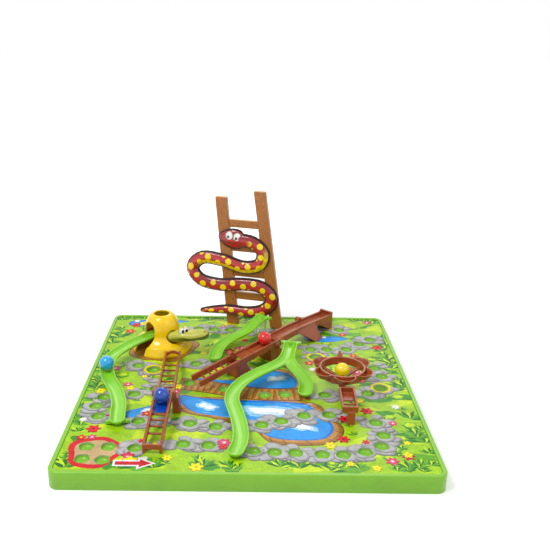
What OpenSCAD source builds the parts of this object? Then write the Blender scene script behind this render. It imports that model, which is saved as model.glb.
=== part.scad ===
/* [Board] */
// Side of the square board
board_w = 290; // [270:1:310]
// Height of the tray from the table to the top of its rim
board_h = 15; // [14:0.5:18]
// Width of the raised rim round the card
rim_w = 3.5; // [2.5:0.5:5]
// Radius of the tray's upright corners
corner_r = 8; // [6:0.5:12]
// Thickness of the tray's side wall
wall_t = 2; // [1.6:0.1:2.6]
// Thickness of the tray's deck under the card
deck_t = 2; // [1.6:0.1:2.4]
// Thickness of the printed card
card_t = 1; // [0.6:0.1:1.2]
// Depth of the card's face below the top of the rim
card_sink = 1; // [0.6:0.1:1.5]
// Radius of the ball cups along the path
cup_r = 5.5; // [4.5:0.1:6]
// Depth of a cup below the card's face
cup_deep = 3.4; // [3.2:0.1:3.8]

/* [Balls] */
// Diameter of a playing ball
ball_d = 13; // [12.5:0.5:13.5]

/* [Slides] */
// Width of a slide's channel over its walls
slide_w = 13; // [12.5:0.5:14]
// Depth of a slide's channel outside
slide_deep = 5; // [4.5:0.1:5.5]
// Thickness of a slide's wall
slide_t = 1.3; // [1:0.1:1.6]
// Height of the dome slide's edges at its top
dome_slide_h = 17.5; // [16:0.5:18]
// Height of the rear slide's edges at its top
rear_slide_h = 20; // [17:0.5:24]
// Height of the fork slide's edges at its top
fork_slide_h = 22; // [19:0.5:25]
// Length of the cross lip at the top of a slide
lip_w = 20; // [18:0.5:24]

/* [Dome] */
// Radius of the dome's skirt at the card
dome_r = 29; // [28:0.5:31]
// Height of the dome above the card
dome_h = 36; // [35:0.5:38]
// Radius of the dome at its waist
dome_waist_r = 17; // [16.5:0.5:19]
// Height of the skirt up to its step
skirt_h = 9; // [8:0.5:10]
// Thickness of the dome's wall
dome_t = 1.8; // [1.4:0.1:2.2]
// Radius of the hole in the dome's top
dome_hole_r = 7.4; // [7:0.1:8]
// Length of the snake's head beyond the dome
head_len = 35; // [30:1:36]

/* [Ladders] */
// Width of a ladder over its rails
ladder_w = 15; // [14:0.5:15.5]
// Thickness of a ladder's rail
rail_t = 2; // [1.6:0.1:2.4]
// Depth of a ladder's rail
rail_deep = 6; // [6:0.5:7]
// Height of a moulded rung
rung_t = 1.5; // [1.2:0.1:1.5]
// Height of the front ladder's rails at its tower
tower_h = 22; // [21:0.5:24]
// Height of the long ladder's rails above the card
long_h = 19; // [18:0.5:20]
// Thickness of a flap
flap_t = 1.2; // [1:0.1:1.3]

/* [Flower] */
// Radius of the flower over its petals
flower_r = 28; // [26.5:0.5:29]
// Height of the flower's ring above the card
flower_h = 23.5; // [22.5:0.5:25]
// Radius of the ring inside the petals
flower_ring_r = 19.2; // [18.6:0.2:19.6]

/* [Standee] */
// Height of the standing ladder above the card
standee_h = 146; // [120:1:150]
// Width of the standing ladder's rail
standee_rail_w = 12; // [10:0.5:13]
// Thickness of the standing ladder's rail
standee_rail_t = 6; // [5:0.5:7]
// Height of a rung of the standing ladder
standee_rung_h = 8; // [6:0.5:9]
// Width of the standing snake's body
snake_w = 12; // [10:0.5:13]

/* [Hidden] */
$fn = 48;

// Clearances and overruns
cut = 1; // overrun of a cut past a face
seat_gap = 0.3; // gap between a ball or a slide and what carries it
side_gap = 0.4; // gap beside a flap or round a piece that passes through a hole
arch_gap = 0.9; // gap beside the slide in the dome's arch
pin_fit = 0.05; // radial running clearance of a hinge
peg_fit = 0.1; // radial clearance of a peg in its socket
card_fit = 0.4; // gap round the card and round a peg in the card

// Levels, from the table up
card_top = board_h - card_sink;
deck_top = card_top - card_t;
deck_low = deck_top - deck_t;
cup_floor = card_top - cup_deep;
rib_t = 1.6;
rib_foot = 7; // height of a rib's foot above the table
rib_shares = [-0.468, -0.328, -0.21, 0.182, 0.33, 0.452];

// Plug-in pegs under the pieces, and their sockets in the deck
peg_r = 2;
peg_len = 6;
socket_t = 1.6;
socket_low = card_top - peg_len - socket_t;

// Centres of the cups, in shares of the board's side
cup_shares = [
    [-0.424, -0.378], [-0.366, -0.378], [-0.424, -0.434], [-0.371, -0.438], [-0.297, -0.383],
    [-0.172, -0.362], [-0.105, -0.366], [0.014, -0.39], [0.069, -0.395], [0.124, -0.397],
    [0.193, -0.403], [0.248, -0.403], [0.307, -0.39], [0.355, -0.362], [0.369, -0.309],
    [0.359, -0.245], [0.231, -0.205], [0.159, -0.21], [0.093, -0.241], [0.038, -0.262],
    [-0.09, -0.274], [-0.162, -0.259], [-0.307, -0.25], [-0.424, -0.226], [-0.441, -0.169],
    [-0.428, -0.117], [-0.341, -0.097], [-0.279, -0.062], [-0.355, 0.09], [-0.303, 0.062],
    [-0.183, -0.024], [-0.072, -0.062], [0.05, -0.095], [0.11, -0.09], [0.231, -0.09],
    [0.362, -0.078], [0.407, -0.043], [0.424, 0.033], [0.41, 0.093], [0.226, 0.166],
    [0.214, 0.224], [0.269, 0.224], [0.336, 0.228], [0.386, 0.272], [0.429, 0.31],
    [-0.169, 0.107], [-0.124, 0.383], [-0.066, 0.379], [-0.179, 0.386], [0, 0.372],
    [0.159, 0.379], [0.214, 0.386], [0.331, 0.39]
];

// Dome
dome_shares = [-0.293, 0.234];
dome_at = board_w * dome_shares;
waist_h = 0.5 * dome_h;
step_w = 1.6; // width of the ledge on top of the skirt
dome_steps = 3; // steps round the dome's skirt
arch_yaw = 223; // direction in which the slide leaves
arch_w = slide_w + 2 * arch_gap;
arch_h = 0.82 * dome_h;
neck_yaw = -48; // direction in which the snake looks out
neck_r = 5;
neck_out = 1.4; // distance of the head's frame outside the dome's waist
neck_len = 7; // the neck reaches into the dome
neck_h = 0.46 * dome_h;
neck_hole_r = 6.2;

// Snake's head on the dome
head_w = 17;
head_t = 14.5;
eye_r = 2.7;
eye_yaw = -50; // turn of the pair of eyes on the head
head_yaw = 43;
head_rise = 3.8; // height of the head's middle above its neck
cheek_share = 0.42; // place of the head's widest ball along it
snout_share = 0.84; // place of the snout's ball, its size and its rise
snout_size = 0.82;
snout_rise = 0.06;
eye_share = 0.31; // place of the eyes along the head
eye_side = 3; // how far the eyes sit towards the front
eye_drop = 2.6; // depth of their middles below the head's top
eye_tall = 1.35; // height of an eye against its width
eye_gap_share = 0.85; // distance of an eye from their middle, against its radius

// Routes of the slides: x and y in shares of the board's side, height as a share of the drop
dome_route_shares = [
    [-0.293, 0.234, 1], [-0.335, 0.198, 0.97], [-0.387, 0.147, 0.82], [-0.43, 0.078, 0.68],
    [-0.44, 0.014, 0.54], [-0.425, -0.052, 0.4], [-0.391, -0.123, 0.27], [-0.371, -0.185, 0.15],
    [-0.366, -0.231, 0.06], [-0.362, -0.266, 0]
];
rear_route_shares = [
    [0.05, 0.352, 1], [0.027, 0.318, 0.9], [-0.006, 0.269, 0.66], [-0.05, 0.237, 0.44],
    [-0.084, 0.205, 0.26], [-0.102, 0.168, 0.12], [-0.109, 0.128, 0]
];
fork_route_shares = [
    [0.138, 0.121, 1], [0.128, 0.065, 0.89], [0.112, 0.027, 0.75], [0.081, -0.003, 0.66],
    [0.034, -0.036, 0.55], [-0.012, -0.08, 0.44], [-0.04, -0.132, 0.34], [-0.047, -0.178, 0.28],
    [-0.04, -0.216, 0.22], [-0.028, -0.27, 0.16], [-0.02, -0.33, 0.1], [-0.022, -0.38, 0.04],
    [-0.032, -0.415, 0]
];
branch_route_shares = [
    [0.1285, 0.068, 0.893], [0.125, 0.027, 0.78], [0.142, -0.005, 0.56], [0.165, -0.038, 0.34],
    [0.175, -0.07, 0.16], [0.17, -0.101, 0]
];
route_step = 4; // rings on each stretch of a route
slide_low = slide_deep + seat_gap; // height of a slide's edges at its lower end
trough_sides = 8; // faces round a slide's channel
slice_t = 0.3;
lip_t = 3;
post_w = 10;
post_t = 4;

// Front ladder: foot and tower, in shares of the board's side
front_foot_shares = [-0.248, -0.41];
front_pin_shares = [-0.238, -0.206];
front_foot = board_w * front_foot_shares;
front_pin_at = board_w * front_pin_shares;
front_yaw = atan2(front_foot[0] - front_pin_at[0], front_pin_at[1] - front_foot[1]);
front_run = norm(front_pin_at - front_foot);
front_foot_h = 8; // height of the lower ladder's end
front_rung_shares = [0.28, 0.39, 0.49, 0.6, 0.73];
panel_share = 0.9; // place of the foot's cross panel
panel_t = 1.4;
panel_deep = 4.5; // depth of the foot's cross panel below the rails' edges
ball_edge = ladder_w / 2 - rail_t;
flap_drop = ball_d / 2 - ride(ball_edge) + seat_gap; // depth of a flap's face below the rails
front_flap_share = 0.365;
pin_r = 1;
sleeve_r = 1.9;
knuckle_drop = flap_drop + sleeve_r; // depth of a hinge pin below the rails
ear_r = 3;
ear_t = 1.6; // how far an ear stands out beside its rail
ear_w = ear_t + rail_t / 2;
ear_x = (ladder_w + ear_t - rail_t / 2) / 2;
knob_r = 1.8;
knob_len = 1;
block_w = 7;
block_deep = 8;
block_flare = 2;
block_gap = 1.2; // gap between the tower's block and the upper ladder over it
block_x = ladder_w / 2 - rail_t / 2;
ear_back = 4; // how far an ear reaches behind its pin
mould_t = 1.6; // wall of a hollow moulding

// Upper ladder: from the tower to the dome's skirt
upper_rung_shares = [0.13, 0.275, 0.425, 0.577, 0.72];
upper_drop = 13;
arch_rise = 3; // rise of the arched crosspiece at the upper ladder's far end
upper_far_x_share = -0.247;
upper_far_x = board_w * upper_far_x_share;
upper_foot_w = 3;

// Long ladder: start of its straight beam, its end and its lower foot
long_start_shares = [-0.048, 0.016];
long_end_shares = [0.287, 0.424];
long_foot_shares = [-0.16, -0.066];
long_start = board_w * long_start_shares;
long_end = board_w * long_end_shares;
long_foot = board_w * long_foot_shares;
long_yaw = atan2(long_end[1] - long_start[1], long_end[0] - long_start[0]);
long_run = norm(long_end - long_start);
long_down = norm(long_start - long_foot);
long_down_yaw = atan2(long_foot[1] - long_start[1], long_foot[0] - long_start[0]);
long_drop = 8; // fall of the lower part
long_rung_shares = [0.26, 0.43, 0.59, 0.76];
long_floor_shares = [0.07, 0.17]; // fixed floor between the rails, along the beam
long_flap_share = 0.175;
long_pin_share = 0.37;
long_joint_share = 0.405;
long_wall_h = 6.5; // depth of the beam's walls
end_t = 1.5 * rail_t; // thickness of the channel's end plate
tip_share = 0.97; // height of the channel's end plate against the rails
long_pin_x = long_run * long_pin_share;
long_flap_x = long_run * long_flap_share;
long_joint_x = long_run * long_joint_share;
leg_one_shares = [0, 0.128, 0.07, 0];
leg_two_shares = [0.312, 0.455, 0.39, 0.3];
gusset_share = 0.83;
wall_shares = [[0.405, 0.95], [0.44, 1.06], [0.62, 1.06], [1, 0.85]]; // along, height
buttress_shares = [0.735, 0.81, 0.78, 0.58];
buttress_w = 7;
buttress_h = long_h - rail_t;
boss_r = 2.6;
boss_len = 3;
boss_shares = [0.035, 0.73];

// Flower and its stalk
flower_shares = [0.283, -0.061];
flower_at = board_w * flower_shares;
ring_t = 1.8;
ring_h = 7.5;
petal_r = 9.7;
petal_t = 1.2;
petal_h = 5.5;
petal_yaws = [30, 150, 210, 270, 330];
spoke_yaws = [30, 90, 150, 270];
hub_r = 5;
hub_drop = 13.5; // depth of the hub's underside below the petals' edges
hub_low = flower_h - hub_drop;
hub_t = 3;
hub_wall = 0.9; // thickness over the bore in the hub
spoke_w = 3.6;
spoke_t = 1.6;
stem_r = 3.5;
leaf_len = 10;
leaf_r = 12;
leaf_half_w = 2.6;
leaf_t = 2;
leaf_tilt = 50; // how far the leaf leans up
trough_near = 30; // distance from the flower's centre to the stalk's channel
trough_len = 27.5;
trough_w = 13;
trough_t = 1.7;
trough_deep = 6;
trough_under = 3.5; // depth of the channel's upper end below the petals' edges
trough_h = flower_h - trough_under;
trough_drop = 4;
trough_floor_share = 0.4; // closed part of its floor
slots = 3;
slot_bar = 1.6;
stalk_leg_w = 6.5;
stalk_leg_x = 1;
stalk_leg_t = 3;

// Standing ladder
standee_foot_shares = [[-0.055, 0.443], [0.103, 0.4]];
standee_at = board_w * (standee_foot_shares[0] + standee_foot_shares[1]) / 2;
standee_span = board_w * norm(standee_foot_shares[1] - standee_foot_shares[0]);
standee_yaw = atan2(standee_foot_shares[1][1] - standee_foot_shares[0][1],
                    standee_foot_shares[1][0] - standee_foot_shares[0][0]);
standee_lean = 6.85; // lean of the whole ladder to the left
standee_taper = 1.25; // further lean of the right rail, and less of the left
left_rail_share = 0.945; // height of the left rail against the right one
standee_rung_shares = [0.225, 0.4, 0.585, 0.76];
standee_rung_t = 4;

// Standing snake: across in shares of the ladder's span, up in shares of its height
snake_shares = [
    [-1.2, 0.085], [-0.94, 0.1], [-0.56, 0.115], [-0.14, 0.11], [0.22, 0.14], [0.4, 0.225],
    [0.17, 0.31], [-0.28, 0.32], [-0.78, 0.3], [-1.24, 0.325], [-1.42, 0.415], [-1.18, 0.495],
    [-0.7, 0.485], [-0.25, 0.45], [0.1, 0.48], [0.17, 0.57], [-0.05, 0.635], [-0.36, 0.65]
];
snake_step = 4;
snake_tail_share = 0.3; // part of the snake's length that tapers
snake_tip_w = 3;
snake_back_t = 1.2;
snake_thick = 5;
snake_edge = 1.2; // dark edge round the body
snake_head_len = 28;
snake_head_w = 19;
snake_head_taper = 0.22; // how much narrower the head is at its mouth
snake_head_arc = 126; // half of the head's outline, in degrees

// Points of a smooth curve through a list of points, with a few steps on each stretch
function spline_at(a, b, c, d, t) =
    0.5 * (2 * b + (c - a) * t + (2 * a - 5 * b + 4 * c - d) * t * t
        + (3 * b - a - 3 * c + d) * t * t * t);
function smooth(p, steps) = let (n = len(p)) concat([
    for (i = [0 : n - 2]) let (
        a = i > 0 ? p[i - 1] : 2 * p[0] - p[1],
        d = i < n - 2 ? p[i + 2] : 2 * p[n - 1] - p[n - 2]
    ) for (s = [0 : steps - 1]) spline_at(a, p[i], p[i + 1], d, s / steps)
], [p[n - 1]]);

// Direction of a route at one of its points, seen from above
function heading(p, i) = let (
    a = p[max(i - 1, 0)],
    b = p[min(i + 1, len(p) - 1)]
) atan2(b[1] - a[1], b[0] - a[0]);
function turn(p, yaw) = [p[0] * cos(yaw) - p[1] * sin(yaw), p[0] * sin(yaw) + p[1] * cos(yaw)];
function top_view(p) = [p[0], p[1]];
function last_of(p) = p[len(p) - 1];

// Height of a ball's centre above two edges that carry it
function ride(half_w) = sqrt(pow(ball_d / 2, 2) - pow(half_w, 2)) + seat_gap;

// A route of the board in real sizes, from its shares and the height of its top
function slide_route(shares, high) = smooth([
    for (s = shares) [board_w * s[0], board_w * s[1],
        card_top + slide_low + s[2] * (high - slide_low)]
], route_step);

// Cross-section of a slide: across and up, as a solid body and as the hollow in it
function trough_arc(half_w, deep) = [
    for (k = [0 : trough_sides]) let (a = 180 + 180 * k / trough_sides)
        [half_w * cos(a), deep * sin(a)]
];
slide_body = trough_arc(slide_w / 2, slide_deep);
slide_hollow = concat([[-slide_w / 2 + slide_t, slide_deep]],
    trough_arc(slide_w / 2 - slide_t, slide_deep - slide_t),
    [[slide_w / 2 - slide_t, slide_deep]]);

// Thin upright slice of a slide's section at one point of its route
module slice(route, i, section) {
    translate(route[i]) rotate([90, 0, heading(route, i) + 90])
        linear_extrude(slice_t, center = true) polygon(section);
}

// A solid swept along a route: its section stays upright and square to the route
module sweep(route, section) {
    for (i = [0 : len(route) - 2]) hull() {
        slice(route, i, section);
        slice(route, i + 1, section);
    }
}

// Round end of a slide, as a half turn of its section
module slide_end(route, section, first) {
    i = first ? 0 : len(route) - 1;
    translate(route[i]) rotate([0, 0, heading(route, i) + (first ? 90 : -90)])
        rotate_extrude(angle = 180) polygon([
            [0, min([for (s = section) s[1]])],
            for (s = section) if (s[0] > peg_fit) s,
            [0, max([for (s = section) s[1]])]
        ]);
}

// Cross lip at a slide's top end
module slide_lip(route) {
    translate(route[0]) rotate([0, 0, heading(route, 0)]) translate([0, 0, -lip_t])
        linear_extrude(lip_t) {
            translate([-lip_t, -lip_w / 2 + lip_t / 2]) square([lip_t, lip_w - lip_t]);
            for (side = [-1, 1]) translate([-lip_t / 2, side * (lip_w - lip_t) / 2])
                circle(lip_t / 2);
        }
}

// Peg under a slide's lower end, joined to the slide's floor
module slide_peg(route) {
    p = last_of(route);
    translate([p[0], p[1], card_top]) {
        peg();
        cylinder(seat_gap + slide_t / 2, peg_r, peg_r);
    }
}

// A piece's own frame on the card: at a point and turned, seen from above
module at_board(p, yaw) {
    translate([p[0], p[1], card_top]) rotate([0, 0, yaw]) children();
}

module peg() {
    translate([0, 0, -peg_len]) cylinder(peg_len + peg_fit, peg_r, peg_r);
}

// Flat square with round corners
module round_square(w, r) {
    square([w - 2 * r, w], center = true);
    square([w, w - 2 * r], center = true);
    for (x = [-1, 1], y = [-1, 1]) translate([x, y] * (w / 2 - r)) circle(r);
}

// Rails and rungs from the origin down along +X; the rails' top edges lie on the slope
module ladder(run, drop, shares) {
    length = norm([run, drop]);
    rotate([0, atan2(drop, run), 0]) {
        for (side = [-1, 1])
            translate([0, side * (ladder_w - rail_t) / 2 - rail_t / 2, -rail_deep])
                cube([length, rail_t, rail_deep]);
        for (s = shares)
            translate([length * s - rung_t / 2, -ladder_w / 2 + rail_t / 2, -rail_deep])
                cube([rung_t, ladder_w - rail_t, rung_t]);
    }
}

// Places of the pegs on the board
dome_route = slide_route(dome_route_shares, dome_slide_h);
rear_route = slide_route(rear_route_shares, rear_slide_h);
fork_route = slide_route(fork_route_shares, fork_slide_h);
branch_route = slide_route(branch_route_shares, fork_slide_h);
dome_pegs = [for (a = [30, 150, 270]) turn([dome_r - 2 * peg_r, 0], a)];
rear_post_at = top_view(rear_route[0])
    + turn([-post_t / 2 - slice_t, -post_w / 4], heading(rear_route, 0));
fork_post_at = top_view(fork_route[0]) + turn([-post_t / 2 - slice_t, 0], heading(fork_route, 0));
tower_peg = [block_x + block_w / 2 - block_flare / 4, block_deep / 2];
leg_one_x = long_run * (leg_one_shares[0] + leg_one_shares[1]) / 2;
leg_two_x = long_run * (leg_two_shares[0] + leg_two_shares[1]) / 2;
leg_three_x = long_run * (buttress_shares[0] + buttress_shares[1]) / 2;
leg_three_y = -ladder_w / 2 - buttress_w / 2;
stalk_leg_y = -trough_near - trough_len + stalk_leg_t / 2;
pegs = concat([for (p = dome_pegs) dome_at + p], [
    dome_at, top_view(last_of(dome_route)), top_view(last_of(rear_route)),
    top_view(last_of(fork_route)), top_view(last_of(branch_route)),
    rear_post_at, fork_post_at, front_pin_at + turn(tower_peg, front_yaw),
    long_start + turn([leg_one_x, 0], long_yaw),
    long_start + turn([leg_two_x, 0], long_yaw),
    long_start + turn([leg_three_x, leg_three_y], long_yaw),
    flower_at, flower_at + [stalk_leg_x, stalk_leg_y],
    board_w * standee_foot_shares[0], board_w * standee_foot_shares[1]
]);

module base_tray() color("yellowgreen") difference() {
    union() {
        difference() {
            linear_extrude(board_h) round_square(board_w, corner_r);
            translate([0, 0, deck_top])
                linear_extrude(board_h) round_square(board_w - 2 * rim_w, corner_r - rim_w);
            translate([0, 0, -cut])
                linear_extrude(deck_low + cut) round_square(board_w - 2 * wall_t, corner_r - wall_t);
        }
        for (s = cup_shares) translate([board_w * s[0], board_w * s[1], cup_floor - deck_t])
            cylinder(deck_top - cup_floor + deck_t / 2, cup_r + deck_t / 2, cup_r + deck_t / 2);
        for (p = pegs) translate([p[0], p[1], socket_low])
            cylinder(deck_low - socket_low + deck_t / 2, peg_r + socket_t, peg_r + socket_t);
        for (s = rib_shares, a = [0, 90]) rotate([0, 0, a])
            translate([board_w * s - rib_t / 2, -board_w / 2 + wall_t / 2, rib_foot])
                cube([rib_t, board_w - wall_t, deck_low - rib_foot + deck_t / 2]);
    }
    for (s = cup_shares) translate([board_w * s[0], board_w * s[1], cup_floor])
        cylinder(board_h, cup_r, cup_r);
    for (p = pegs) translate([p[0], p[1], socket_low + socket_t - peg_fit])
        cylinder(board_h, peg_r + peg_fit, peg_r + peg_fit);
}

module printed_card() color("greenyellow") translate([0, 0, deck_top]) linear_extrude(card_t)
    difference() {
        round_square(board_w - 2 * rim_w - card_fit, corner_r - rim_w);
        for (s = cup_shares) translate(board_w * s) circle(cup_r);
        for (p = pegs) translate(p) circle(peg_r + card_fit);
    }

// Outline of the dome from its foot to its top, at a distance inside its outer face
function dome_outline(inset) = concat(
    [[dome_r - inset, 0], [dome_r - inset, step_w], [dome_r - 2 * step_w - inset, skirt_h - inset],
     [dome_r - dome_steps * step_w - inset, skirt_h - inset]],
    [for (k = [1 : 5]) let (t = k / 5)
        [dome_waist_r - inset + (dome_r - dome_steps * step_w - dome_waist_r) * pow(1 - t, 2),
         skirt_h + (waist_h - skirt_h) * t]],
    [for (k = [1 : 7]) let (a = 90 * k / 8)
        [dome_hole_r + (dome_waist_r - inset - dome_hole_r) * cos(a),
         waist_h + (dome_h - inset - waist_h) * sin(a)]],
    [[dome_hole_r, dome_h - inset]]
);

module dome_shell() color("gold") at_board(dome_at, 0) {
    inner = dome_outline(dome_t);
    difference() {
        rotate_extrude($fn = 96) polygon(concat(dome_outline(0),
            [for (k = [len(inner) - 1 : -1 : 0]) inner[k]]));
        rotate([0, 0, arch_yaw]) rotate([90, 0, 90]) linear_extrude(dome_r + cut) {
            translate([-arch_w / 2, -cut]) square([arch_w, arch_h - arch_w / 2 + cut]);
            translate([0, arch_h - arch_w / 2]) circle(arch_w / 2);
        }
        rotate([0, 0, neck_yaw]) translate([0, 0, neck_h]) rotate([0, 90, 0])
            cylinder(dome_r + cut, neck_hole_r, neck_hole_r);
    }
    for (p = dome_pegs) translate(p) {
        peg();
        cylinder(skirt_h - dome_t / 2, peg_r, peg_r);
    }
}

// Frame of the snake's head, at the mouth of its hole
module head_frame() {
    at_board(dome_at, neck_yaw) translate([dome_waist_r + neck_out, 0, neck_h])
        rotate([0, 0, head_yaw]) children();
}

module head_ball(x, z, size) {
    translate([head_len * x, 0, head_rise + head_t * z]) scale([1, head_w / head_t, 1])
        sphere(head_t * size / 2, $fn = 24);
}

// The two eyes, side by side on the head, grown by a clearance
module eye_pair(gap) {
    translate([head_len * eye_share, -eye_side, head_rise + head_t / 2 - eye_drop])
        rotate([0, 0, eye_yaw]) for (side = [-1, 1]) translate([0, side * eye_r * eye_gap_share, 0])
        scale([1, 1, eye_tall]) sphere(eye_r + gap);
}

// The neck is held in its hole by two ribs
module snake_head() color("olivedrab") head_frame() difference() {
    union() {
        rotate([0, 0, -head_yaw]) {
            rotate([0, -90, 0]) cylinder(neck_len, neck_r, neck_r);
            translate([-neck_len, -rib_t / 2, -neck_hole_r + peg_fit])
                cube([neck_len, rib_t, 2 * (neck_hole_r - peg_fit)]);
        }
        hull() {
            sphere(neck_r, $fn = 24);
            head_ball(cheek_share, 0, 1);
        }
        hull() {
            head_ball(cheek_share, 0, 1);
            head_ball(snout_share, snout_rise, snout_size);
        }
    }
    eye_pair(pin_fit);
}

module snake_eyes() color("white") head_frame() eye_pair(0);

module dome_slide() color("yellowgreen") {
    foot = last_of(dome_route);
    difference() {
        union() {
            sweep(dome_route, slide_body);
            slide_end(dome_route, slide_body, true);
            slide_end(dome_route, slide_body, false);
            translate(foot) rotate([0, 0, heading(dome_route, len(dome_route) - 1)])
                translate([-lip_t / 2, -lip_w / 2, -slide_deep])
                cube([lip_t, lip_w, slide_deep - peg_fit]);
        }
        sweep(dome_route, slide_hollow);
        slide_end(dome_route, slide_hollow, true);
        slide_end(dome_route, slide_hollow, false);
    }
    slide_peg(dome_route);
    at_board(dome_at, 0) {
        peg();
        cylinder(dome_slide_h - slide_deep + slide_t / 2, peg_r, peg_r);
    }
}

module rear_slide() color("yellowgreen") {
    difference() {
        union() {
            sweep(rear_route, slide_body);
            slide_end(rear_route, slide_body, false);
            slide_lip(rear_route);
        }
        sweep(rear_route, slide_hollow);
        slide_end(rear_route, slide_hollow, false);
    }
    slide_peg(rear_route);
}

// Upright under a slide's cross lip
module slide_post(at, yaw, high) {
    at_board(at, yaw) {
        translate([-post_t / 2, -post_w / 2, 0]) cube([post_t, post_w, high]);
        peg();
    }
}

module rear_slide_post() color("honeydew")
    slide_post(rear_post_at, heading(rear_route, 0), rear_slide_h - lip_t);

module fork_slide() color("yellowgreen") {
    difference() {
        union() {
            sweep(fork_route, slide_body);
            slide_end(fork_route, slide_body, false);
            sweep(branch_route, slide_body);
            slide_end(branch_route, slide_body, false);
            slide_lip(fork_route);
        }
        sweep(fork_route, slide_hollow);
        slide_end(fork_route, slide_hollow, false);
        sweep(branch_route, slide_hollow);
        slide_end(branch_route, slide_hollow, false);
    }
    slide_peg(fork_route);
    slide_peg(branch_route);
}

module fork_slide_post() color("honeydew")
    slide_post(fork_post_at, heading(fork_route, 0), fork_slide_h - lip_t);

// Frame of the front ladder: its pin is above the origin and its foot lies towards -Y
module front_frame() {
    at_board(front_pin_at, front_yaw) children();
}

front_drop = tower_h - front_foot_h;
front_slope = atan2(front_drop, front_run);
front_len = norm([front_run, front_drop]);
front_pin_h = tower_h - knuckle_drop / cos(front_slope);
block_h = tower_h - rail_deep - block_gap;

// Turned so that Y runs down the lower ladder, from the middle of its rails' upper ends
module front_slope_frame() {
    front_frame() translate([0, 0, tower_h]) rotate([front_slope, 0, 0]) children();
}

module front_ladder() color("sienna") {
    difference() {
        union() {
            front_frame() translate([0, 0, tower_h]) rotate([0, 0, -90])
                ladder(front_run, front_drop, front_rung_shares);
            front_frame() intersection() {
                translate([-ladder_w / 2, -front_run - rail_deep, 0])
                    cube([ladder_w, 2 * rail_deep, front_foot_h]);
                union() {
                    for (side = [-1, 1])
                        translate([side * (ladder_w - rail_t) / 2 - rail_t / 2, -front_run, 0])
                            cube([rail_t, rail_deep, front_foot_h]);
                    translate([-ladder_w / 2 + rail_t / 2, -front_run * panel_share - rail_deep,
                        front_foot_h - panel_deep])
                        cube([ladder_w - rail_t, panel_t, panel_deep]);
                }
            }
            front_frame() {
                for (side = [-1, 1]) translate([side * ear_x - ear_w / 2, 0, 0]) {
                    translate([0, 0, front_pin_h])
                        rotate([0, 90, 0]) cylinder(ear_w, ear_r, ear_r);
                    translate([0, -ear_r, front_pin_h])
                        cube([ear_w, ear_back + ear_r, tower_h - front_pin_h]);
                }
                translate([0, block_deep, 0]) rotate([90, 0, 0]) linear_extrude(block_deep)
                    polygon([
                        [block_x, 0], [block_x + block_w, 0],
                        [block_x + block_w - block_flare, block_h],
                        [block_x, block_h]
                    ]);
                translate([block_x + peg_fit, peg_fit, block_h - mould_t])
                    cube([ear_w - 2 * peg_fit, ear_back - 2 * peg_fit, front_pin_h - block_h + mould_t]);
            }
        }
        front_frame() {
            translate([0, block_deep - mould_t, -cut]) rotate([90, 0, 0])
                linear_extrude(block_deep - 2 * mould_t) polygon([
                    [block_x + mould_t, 0], [block_x + block_w - mould_t, 0],
                    [block_x + block_w - mould_t - block_flare, block_h - mould_t],
                    [block_x + mould_t, block_h - mould_t]
                ]);
            translate([-ladder_w, 0, front_pin_h]) rotate([0, 90, 0])
                cylinder(2 * ladder_w, pin_r, pin_r);
        }
    }
    front_frame() translate(tower_peg) {
        peg();
        cylinder(block_h - mould_t / 2, peg_r, peg_r);
    }
}

// Flap between two rails, its hinge at the origin under its upper end; it lies towards -Y
module flap(length) {
    inner_w = ladder_w - 2 * rail_t - 2 * side_gap;
    translate([-inner_w / 2, 0, 0]) difference() {
        union() {
            translate([0, -length, sleeve_r - flap_t]) cube([inner_w, length, flap_t]);
            rotate([0, 90, 0]) cylinder(inner_w, sleeve_r, sleeve_r);
        }
        translate([-cut, 0, 0]) rotate([0, 90, 0])
            cylinder(inner_w + 2 * cut, pin_r + pin_fit, pin_r + pin_fit);
    }
}

module front_flap() color("royalblue") front_frame() translate([0, 0, front_pin_h])
    rotate([front_slope, 0, 0]) flap(front_len * front_flap_share);

module hinge_pin(span) {
    translate([-span / 2, 0, 0]) rotate([0, 90, 0]) cylinder(span, pin_r, pin_r);
    for (side = [-1, 1]) translate([side * (span + knob_len) / 2 - knob_len / 2, 0, 0])
        rotate([0, 90, 0]) cylinder(knob_len, knob_r, knob_r);
}

module front_pin() color("saddlebrown") front_frame()
    translate([0, 0, front_pin_h]) hinge_pin(ladder_w + 2 * ear_t);

module upper_ladder() color("sienna") {
    near = front_pin_at + turn([rail_t / 2, ear_back + side_gap], front_yaw);
    reach = upper_far_x - ladder_w / 2 - dome_at[0];
    far = [upper_far_x, dome_at[1] - sqrt(pow(dome_r + seat_gap, 2) - pow(reach, 2))];
    run = norm(far - near);
    far_h = tower_h - upper_drop;
    half = ladder_w / 2 - rail_t / 2;
    arch = [for (k = [0 : 8]) let (t = k / 4 - 1) [half * t, arch_rise * (1 - t * t)]];
    at_board(near, atan2(far[1] - near[1], far[0] - near[0])) {
        translate([0, 0, tower_h]) ladder(run, upper_drop, upper_rung_shares);
        translate([0, -half, tower_h - rail_deep])
            cube([panel_t, 2 * half, rail_deep - flap_drop - seat_gap]);
        for (side = [-1, 1])
            translate([run - upper_foot_w - peg_fit, side * half - rail_t / 2 + peg_fit, 0])
                cube([upper_foot_w, rail_t - 2 * peg_fit, far_h - rail_deep / 2]);
        translate([run - (upper_foot_w + panel_t) / 2, 0, far_h - rail_t])
            rotate([90, 0, 90]) linear_extrude(panel_t)
            polygon(concat(arch, [for (k = [8 : -1 : 0]) arch[k] - [0, rail_deep / 2]]));
    }
}

// Frame of the long ladder's beam: it runs along +X from its start
module long_frame() {
    at_board(long_start, long_yaw) children();
}

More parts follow.
